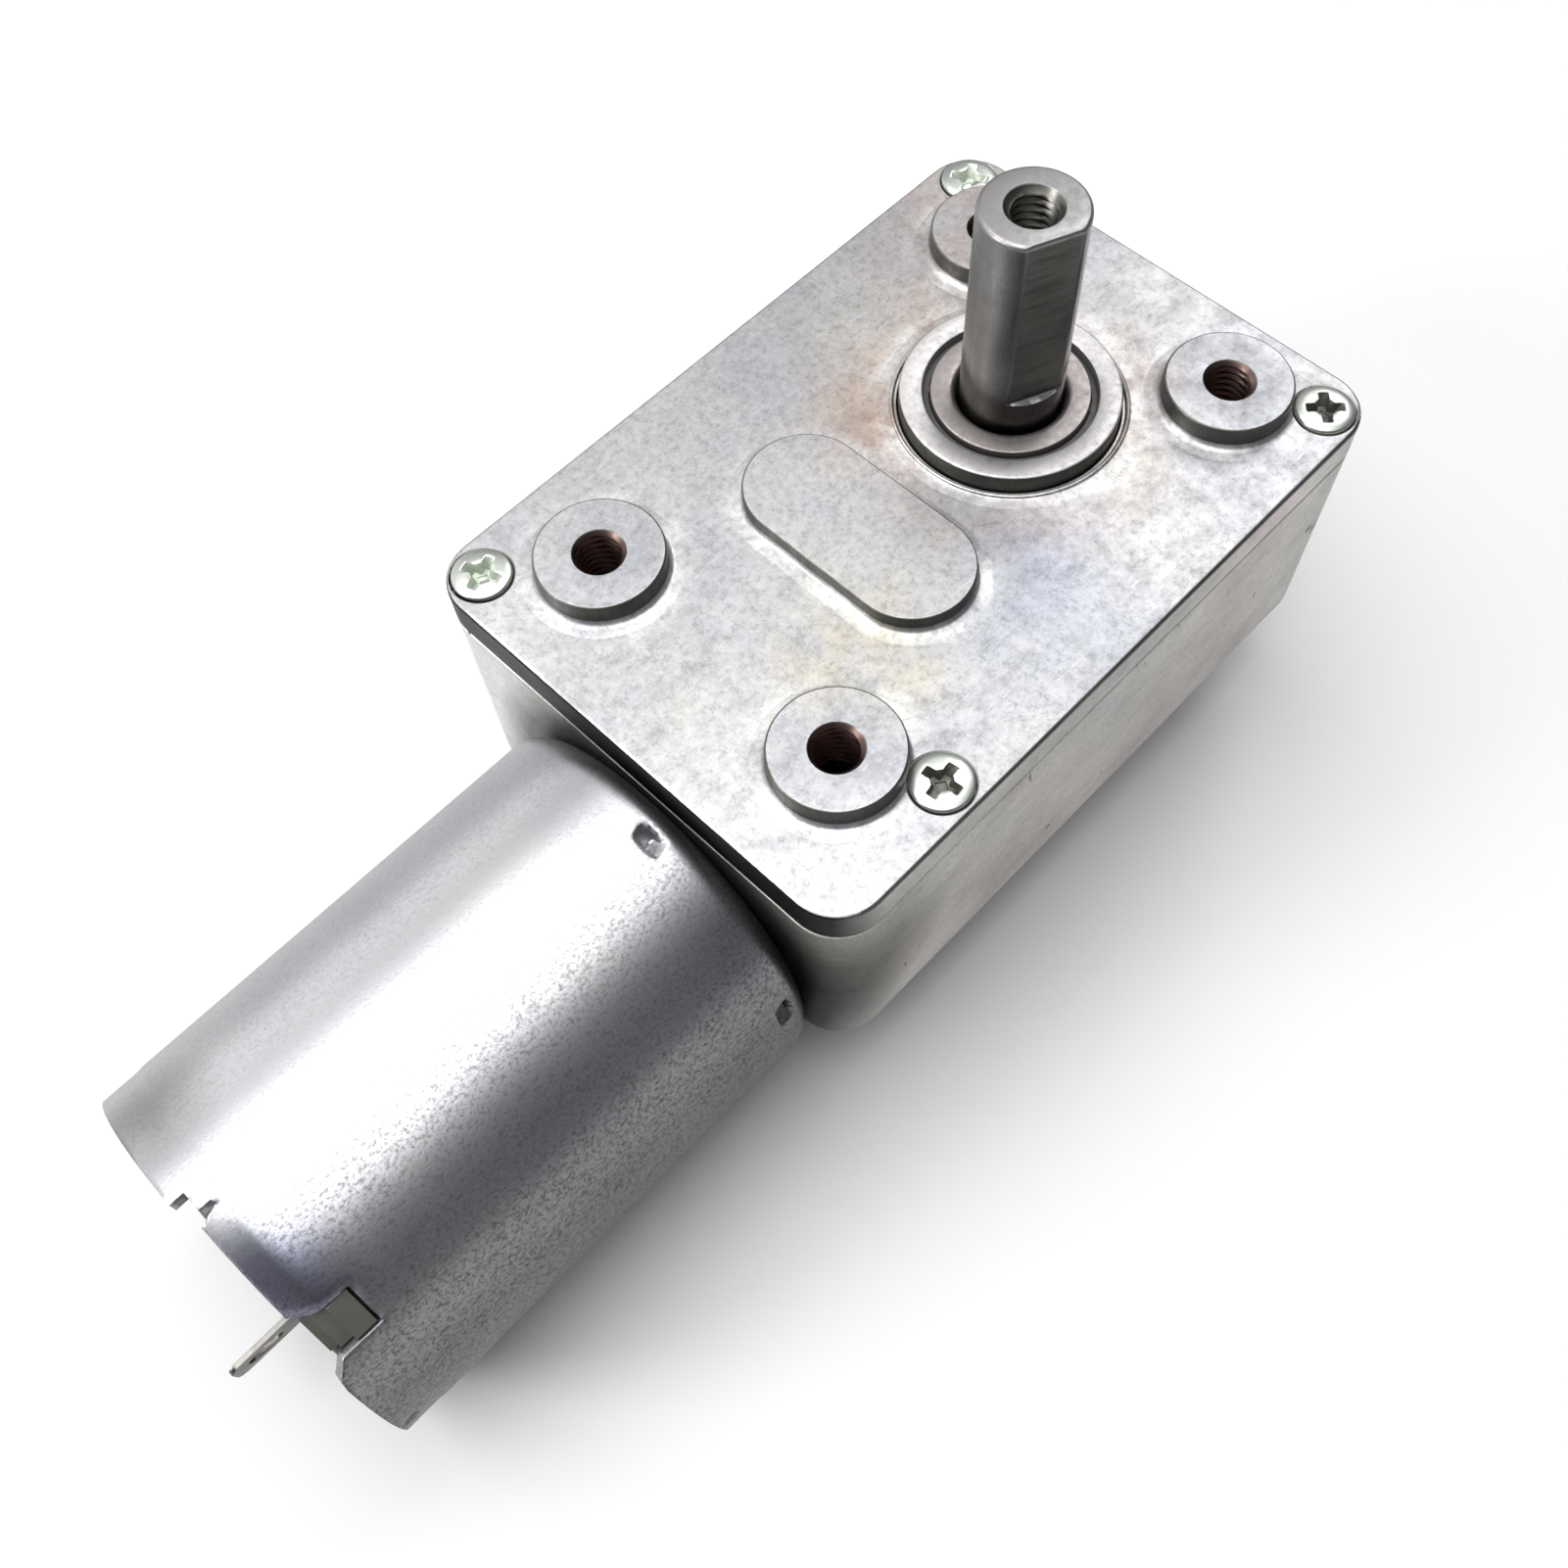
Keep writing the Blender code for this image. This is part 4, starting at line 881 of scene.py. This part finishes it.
def output_shaft():
    """The shaft in one loft: tapped end, chamfer, flat, clip groove and foot."""
    top = SHAFT_TOP
    rings = [[(0.02 * x, 0.02 * y, top - 9.6) for x, y in circle(1.0, SHAFT_POINTS)]]
    rings += thread(1.22, 0.20, top - 9.0, top - 0.36, SHAFT_POINTS)
    for r, z in ((1.42, top - 0.28), (1.58, top - 0.05), (1.63, top)):
        rings.append(shaft_ring(r, z))
    for r, z in arc(2.72, top - 0.28, 0.28, 90, 0, 5):
        rings.append(shaft_ring(r, z, min(r, FLAT_AT - (SHAFT_R - r) * 0.5)))
    for flat, z in ((FLAT_AT, FLAT_LOW + 0.14), (FLAT_AT + 0.03, FLAT_LOW + 0.05),
                    (SHAFT_R - 0.03, FLAT_LOW)):
        rings.append(shaft_ring(SHAFT_R, z, flat))
    for r, z in ((SHAFT_R, FLAT_LOW - 0.02), (SHAFT_R, -11.65), (2.4, -11.65), (2.4, -12.25),
                 (SHAFT_R, -12.25), (SHAFT_R, SHAFT_LOW + 0.3), (2.7, SHAFT_LOW)):
        rings.append(shaft_ring(r, z))
    shaft = mesh_object("drive_shaft", [place(loft(rings), OUT_X, spin=FLAT_TURN)])
    dress(shaft, "shaft", "output", ["output_shaft"], 35)
    out = Vector((math.sin(FLAT_TURN), -math.cos(FLAT_TURN), 0.0))
    repaint(shaft, "flat", lambda c, n: FLAT_LOW + 0.1 < c.z < top - 0.02 and
            n.dot(out) > 0.985 and from_shaft(c) < 2.95)
    repaint(shaft, "face", lambda c, n: (c.z > top - 0.35 and from_shaft(c) > 1.56) or
            (3.1 < c.z < 3.33 and n.z > 0.5))
    repaint(shaft, "bore", lambda c, n: from_shaft(c) < 1.56 and c.z > 4.0)


def bearing():
    """Both races of the output bearing, painted shade on the outer one's side, and a near-black
    ring of painted shade between them.
    """
    low, top = BEARING_LOW, BEARING_TOP
    outer = [(5.2, low), (6.3, low), (BEARING_R, low + 0.2), (BEARING_R, top - 0.20)]
    outer += arc(6.32, top - 0.18, 0.18, 0, 90, 5)
    outer += [(5.26, top), (5.16, top - 0.05), (5.10, top - 0.30), (5.1, -0.5), (5.85, -0.95),
              (5.85, -1.65), (5.2, -2.1)]
    ring = mesh_object("bearing_race_outer", [place(lathe(outer, 128), OUT_X)])
    dress(ring, "ring", "case", ["bearing_outer_ring"], 35)
    # painted shade on the bearing's outer side
    repaint(ring, "shaded_side", lambda c, n: abs(n.z) < 0.6 and from_shaft(c) > 6.3)
    inner = [(3.2, low), (4.6, low), (4.6, -2.1), (3.95, -1.65), (3.95, -0.95), (4.66, -0.5),
             (4.66, top - 0.12)]
    inner += arc(4.56, top - 0.10, 0.10, 0, 90, 4)
    inner += arc(3.62, top - 0.42, 0.42, 90, 180, 6)
    core = mesh_object("bearing_race_inner", [place(lathe(inner, 128), OUT_X)])
    dress(core, "inner", "output", ["bearing_inner_ring"], 35)
    # painted shade: a near-black ring set in the groove between the races
    groove_ring = [(4.74, 0.55), (5.06, 0.45), (5.06, 0.70), (4.74, 0.75)]
    groove_shade = mesh_object("bearing_groove_shade", [place(lathe(groove_ring), OUT_X)])
    dress(groove_shade, "groove_shade", "case", [], 35)


# -------- motor can

# punched dimples: where along the can, where round it, and their scale
DIMPLES = ((-25.1, 100.3, 0.86), (-25.1, 165.0, 0.80), (-53.25, 181.0, 0.35))
DIMPLE_DEPTH, DIMPLE_HALF, DIMPLE_LENGTH, DIMPLE_SKEW = 1.10, 1.15, 0.66, 0.30
# the bent tabs' ends, in degrees from the middle of each tab
TAB_LOW, TAB_HIGH = -19.0, 16.0
# where the tabs start to bend, over what length, and how steeply they then lean in
TAB_BEND, BEND_LENGTH, TAB_SLOPE = -51.55, 0.8, 0.575
# notches beside each tab: from and to in degrees, and how far forward they reach
NOTCH_START, NOTCH_END = -26.0, 28.9
SHORT_NOTCH, LONG_NOTCH = -53.1, -50.55
NOTCHES = [(half + low, half + high, front) for half in (0.0, 180.0)
           for low, high, front in ((NOTCH_START, TAB_LOW, SHORT_NOTCH),
                                    (TAB_HIGH, NOTCH_END, LONG_NOTCH))]
# the rim's corner past each long notch is rounded down from here over so many degrees
CORNER_START, CORNER_SPAN = -52.4, 5.3
CORNER_STEPS = (1.2, 2.5, 3.7, 5.0)
REAR_ROWS = (-51.0, -51.4, -51.6, -51.8, -52.0, -52.2, CORNER_START, -52.75, SHORT_NOTCH,
             -53.4, -53.7)


def can_profile():
    """(x, radius) along the outside of the can, from the middle of its front to its rear."""
    edge = 1.5
    out = [(CAN_FRONT, 3.1), (CAN_FRONT, 6.0), (CAN_FRONT, 9.0)]
    out += arc(CAN_FRONT - edge, CAN_R - edge, edge, 0, 90, 10)
    x = CAN_FRONT - 1.8
    while x > -28.0:
        out.append((x, CAN_R))
        x -= 0.2
    while x > CAN_REAR + 3.8:
        out.append((x, CAN_R))
        x -= 1.0
    for x in (LONG_NOTCH, *REAR_ROWS, CAN_REAR):
        out.append((x, CAN_R - 0.06 * smooth(-x, 51.4, 51.8)))
    return out


def dimpled(x, radius, degrees):
    """The skin's radius with the dimples and the faint crease before the rim taken off."""
    for dimple_x, dimple_angle, scale in DIMPLES:
        across = CAN_R * math.radians((degrees - dimple_angle + 180) % 360 - 180)
        along = x - dimple_x
        skew = (across + DIMPLE_SKEW * along) / scale
        slope = min((skew + DIMPLE_HALF) / 1.05, (DIMPLE_HALF - skew) / 1.15)
        walls = 1 - smooth(abs(along) / scale / DIMPLE_LENGTH, 0.74, 1.06)
        radius -= DIMPLE_DEPTH * scale * max(0.0, min(1.0, slope)) * walls
    if 60.0 < degrees < 90.0:
        radius -= 0.055 * max(0.0, 1 - abs(x + 51.6) / 0.2) * smooth(degrees, 60.0, 80.0)
    return radius


def can_point(x, radius, degrees):
    """A point of the outside skin, with the dimples, the bent tabs and the rim's corners."""
    radius = dimpled(x, radius, degrees)
    folded = (degrees - TAB_ANGLE + 90) % 180 - 90
    bend = TAB_BEND - x
    if TAB_LOW - 0.01 < folded < TAB_HIGH + 0.01 and bend > 0:
        straight = bend - BEND_LENGTH / 2
        lean = bend * bend / (2 * BEND_LENGTH) if bend < BEND_LENGTH else straight
        radius -= TAB_SLOPE * lean
        rear = max(0.0, straight) / 2.0
        x += 0.30 * rear * rear
        narrow = smooth(rear, 0.3, 1.0)
        left, right = TAB_LOW + 0.6 * narrow, TAB_HIGH - 2.6 * narrow
        across = (folded - TAB_LOW) / (TAB_HIGH - TAB_LOW)
        degrees += left + across * (right - left) - folded
    past = (folded - NOTCH_END + 0.01) / CORNER_SPAN
    if 0 <= past < 1 and x < CORNER_START:
        x = CORNER_START + (x - CORNER_START) * (0.40 + 0.60 * past)
    a = math.radians(degrees)
    return (x, radius * math.cos(a), radius * math.sin(a))


def can_angles():
    """Every angle that needs a column of faces: an even grid, the notches and the dimples."""
    exact = {round(TAB_ANGLE + end, 3) % 360 for notch in NOTCHES for end in notch[:2]}
    marks = exact | {float(a) for a in range(0, 360, 3)}
    marks |= {round(TAB_ANGLE + half + NOTCH_END + step, 3) % 360
              for half in (0.0, 180.0) for step in CORNER_STEPS}
    for _, centre, scale in DIMPLES:
        marks |= {round(centre + i * 0.75 * scale, 3) % 360 for i in range(-8, 9)}
    kept = []
    for a in sorted(marks):
        if not kept or a - kept[-1] >= 0.35:
            kept.append(a)
        elif a in exact:
            kept[-1] = a
    return kept


def in_notch(x, degrees):
    """Whether the skin is cut away at a place."""
    local = (degrees - TAB_ANGLE) % 360
    return any(x < front and (local - low) % 360 < high - low for low, high, front in NOTCHES)


def can():
    """The motor's sheet can, with dimples, notches, bent tabs and screw holes."""
    profile = can_profile()
    angles = can_angles()
    n = len(angles)
    points = [can_point(x, r, degrees) for x, r in profile for degrees in angles]
    faces = []
    for k in range(len(profile) - 1):
        middle_x = (profile[k][0] + profile[k + 1][0]) / 2
        for i in range(n):
            j = (i + 1) % n
            gap = (angles[j] - angles[i]) % 360
            if not in_notch(middle_x, angles[i] + gap / 2):
                faces.append((k * n + i, k * n + j, (k + 1) * n + j, (k + 1) * n + i))
    shell = mesh_object("can_skin", [on_motor((points, faces))])
    skin = shell.modifiers.new("sheet", "SOLIDIFY")
    skin.thickness = SHEET * MM
    skin.offset = -1.0
    skin.use_even_offset = True
    bake(shell)
    carve(shell, motor_screw_holes(-26.0, -22.0))
    soften(shell, 0.06, 50)
    dress(shell, "can", "case", ["motor_can"], 58)


# keys of the end cap, in the long notches: degrees from the tab's middle, half the width,
# the front, and the (radius, rear) of each of the steps
KEY_TURNS, KEY_HALF, KEY_FRONT = (22.45, 202.45), 1.22, -50.75
KEY_STEPS = ((11.80, -52.0), (11.20, -52.8), (10.75, -53.3))
# the middle of each blade: how far to the side and how far out
BLADE_SIDE, BLADE_UP = 3.45, 6.7
BLADE_TIP, BLADE_TWIST = -57.5, 14.0


def end_cap():
    """The plastic cap behind the rim, slit for the blades and keyed into the long notches."""
    outer = 10.85
    loop = [(2.8, -53.4), (4.2, -53.4), (4.4, -53.2), (4.4, -52.7), (8.4, -52.7), (8.4, -53.4)]
    loop += [(9.65, -53.4), (9.85, -53.2), (9.85, -52.25), (outer - 0.1, -52.15),
             (outer, -52.05), (outer, -48.8), (9.0, -48.8), (9.0, -51.2), (2.8, -51.2)]
    cap = mesh_object("rear_cap", [on_motor(along_x(lathe(loop, 128)))])
    soften(cap, 0.06, 40)
    slit = rounded_box(0.45, 1.35, 0.1, 2)
    slits = [prism([(x + BLADE_SIDE, y + sign * BLADE_UP) for x, y in slit], -55.0, -47.0)
             for sign in (-1, 1)]
    carve(cap, [on_motor(in_motor(shape, TERMINAL_ANGLE)) for shape in slits])
    depth = 0.9
    outline = rounded_box(KEY_HALF, depth, 0.08, 2)
    keys = []
    for turn in KEY_TURNS:
        for radius, rear in KEY_STEPS:
            block = prism([(x, y + radius - depth) for x, y in outline], rear, KEY_FRONT)
            keys.append(on_motor(in_motor(block, TAB_ANGLE + turn)))
    carve(cap, keys, "UNION")
    dress(cap, "cap", "case", ["end_cap"], 35)


def from_side(outline, side, thickness):
    """A plate across the motor, from (back, up) points to (side, up, back)."""
    points, faces = prism(outline, side - thickness / 2, side + thickness / 2)
    return [(z, y, x) for x, y, z in points], faces


def twisted(shape, side, up, degrees):
    """A shape in (side, up, back) turned about the line through (side, up)."""
    points, faces = shape
    c, s = math.cos(math.radians(degrees)), math.sin(math.radians(degrees))
    return [(side + (x - side) * c - (y - up) * s, up + (x - side) * s + (y - up) * c, z)
            for x, y, z in points], faces


def blade_shapes(bridged):
    """The blade outside the cap and its strip inside, bridged to the far brush or not."""
    end, side, up = BLADE_TIP, BLADE_SIDE, BLADE_UP
    half = [(end, 0.55), (end + 0.15, 0.8), (end + 0.5, 0.97), (-52.6, 1.0)]
    tip = [(back, up - out) for back, out in half]
    tip += [(back, up + out) for back, out in reversed(half)]
    front, back, joint = -46.0, -48.2, -52.7
    foot = 5.7 if bridged else -1.3
    strip = [(joint, 5.7), (back, 5.7), (back, foot), (front, foot), (front, 7.7), (joint, 7.7)]
    shapes = [twisted(from_side(tip, side, 0.30), side, up, BLADE_TWIST),
              from_side(strip, side, 0.36)]
    if bridged:
        shapes.append(prism([(-3.63, 6.5), (3.63, 6.5), (3.63, 6.9), (-3.63, 6.9)], back, front))
        shapes.append(from_side([(back, 6.85), (front, 6.85), (front, -1.3), (back, -1.3)],
                                -side, 0.36))
    return shapes


def terminals():
    """Two tinned blades, each with a long eye and a slight twist outside the cap."""
    eye = [(BLADE_TIP + 1.9 + 1.05 * x, BLADE_UP + 0.48 * y) for x, y in circle(1.0, 28)]
    cutter = twisted(from_side(eye, BLADE_SIDE, 2.0), BLADE_SIDE, BLADE_UP, BLADE_TWIST)
    for index, far in enumerate((False, True)):
        shapes = [mirrored(shape) if far else shape for shape in blade_shapes(far) + [cutter]]
        placed = [on_motor(in_motor(shape, TERMINAL_ANGLE)) for shape in shapes]
        blade = mesh_object(f"terminal_blade_{index + 1}", placed[:-1])
        carve(blade, placed[-1:])
        soften(blade, 0.03, 40)
        dress(blade, "blade", "case", [f"terminal_{index + 1}"], 40)


# -------- carried-over nodes

def finish_nodes():
    """Materials of the CAD nodes inside the case."""
    groups = {
        "gear": ["output_gear", "worm_wheel", "first_pinion", "second_gear", "second_pinion"],
        "brass": ["worm", "spacer_sleeve", "bearing_cage"],
        "screw": ["motor_screw_1", "motor_screw_2", "retaining_clip", "wheel_washer",
                  "magnet_spring"],
        "shaft": ["arbor_pin_1", "arbor_pin_2", "rotor_shaft"],
        "ring": [f"bearing_ball_{i}" for i in range(1, 9)],
        "bronze": ["lower_bush", "front_bush", "rear_bush"],
        "ferrite": ["magnet_1", "magnet_2"],
        "core": ["armature_core"],
        "copper": ["coil_1", "coil_2", "coil_3", "commutator_1", "commutator_2",
                   "commutator_3"],
        "pale": ["commutator_sleeve", "rotor_washer"],
        "carbon": ["brush_1", "brush_2"],
    }
    for key, names in groups.items():
        for name in names:
            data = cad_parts[name].data
            data.materials.clear()
            data.materials.append(LOOKS[key])


# -------- studio

def area(name, location, target, size_x, size_y, power):
    """An oval softbox, aimed at a point; metres and watts."""
    light = bpy.data.lights.new(name, "AREA")
    light.shape = "ELLIPSE"
    light.size = size_x
    light.size_y = size_y
    light.energy = power
    obj = add(name, light)
    obj.location = location
    obj.rotation_euler = (Vector(target) - Vector(location)).to_track_quat("-Z", "Y").to_euler()


def paper_floor():
    """A wide pale floor, a hair under the part."""
    material, tree, shader = new_material("paper_floor")
    coord = position(tree)
    cloud = noise(tree, coord, 6.0, 2.0)
    tree.links.new(greys(tree, cloud, (0.3, 0.41), (0.7, 0.43)), shader.inputs["Base Color"])
    shader.inputs["Roughness"].default_value = 0.9
    size, gap = 3.0, 0.00005
    mesh = bpy.data.meshes.new("studio_floor")
    mesh.from_pydata([(-size, -size, 0), (size, -size, 0), (size, size, 0), (-size, size, 0)],
                     [], [(0, 1, 2, 3)])
    mesh.materials.append(material)
    floor = add("studio_floor", mesh)
    floor.location = (0.0, 0.0, -gap)


def surroundings():
    """A dim room, brighter above and behind the motor's far side."""
    world = bpy.data.worlds.new("studio_world")
    bpy.context.scene.world = world
    world.use_nodes = True
    tree = world.node_tree
    back = tree.nodes["Background"]
    direction = tree.nodes.new("ShaderNodeTexCoord").outputs["Generated"]
    level = span(tree, facing(tree, (0.15, 0.85, 0.50), direction), (-1.0, 1.0, 0.0, 1.0))
    sky = ramp(tree, level, [(0.25, (0.14, 0.145, 0.16)), (0.55, (0.22, 0.23, 0.25)),
                             (0.80, (0.50, 0.51, 0.53)), (0.95, (0.66, 0.66, 0.66))])
    tree.links.new(sky, back.inputs["Color"])
    back.inputs["Strength"].default_value = 1.0


def softboxes():
    """Two lights overhead, one on each side and a small one behind the motor."""
    centre = (0.0, 0.0, 0.01)
    area("overhead_softbox", (-0.10, 0.05, 0.52), centre, 0.58, 0.56, 3.3)
    area("overhead_halo", (-0.07, 0.06, 0.54), centre, 0.80, 0.86, 3.3)
    area("left_softbox", (-0.10, 0.64, 0.25), centre, 0.7, 0.36, 1.02)
    area("right_softbox", (0.38, 0.08, 0.41), centre, 0.24, 0.24, 1.05)
    area("rear_card", (-0.40, 0.20, 0.25), (-0.035, -0.004, 0.022), 0.18, 0.18, 1.7)


def camera():
    """The camera at the studio picture's viewing angle."""
    data = bpy.data.cameras.new("photo_camera")
    data.sensor_width = 36.0
    data.lens = 36.6637
    data.clip_start = 0.001
    data.clip_end = 10.0
    obj = add("photo_camera", data)
    turn = Matrix(((0.6964, 0.648734, -0.306875), (-0.716743, 0.607177, -0.342951),
                   (-0.036157, 0.458781, 0.887813)))
    obj.matrix_world = Matrix.Translation((-0.02669, -0.036248, 0.098991)) @ turn.to_4x4()
    bpy.context.scene.camera = obj
    bpy.context.scene.view_settings.view_transform = "Standard"


cover()
housing()
screws()
output_shaft()
bearing()
can()
end_cap()
terminals()
finish_nodes()
paper_floor()
surroundings()
softboxes()
camera()
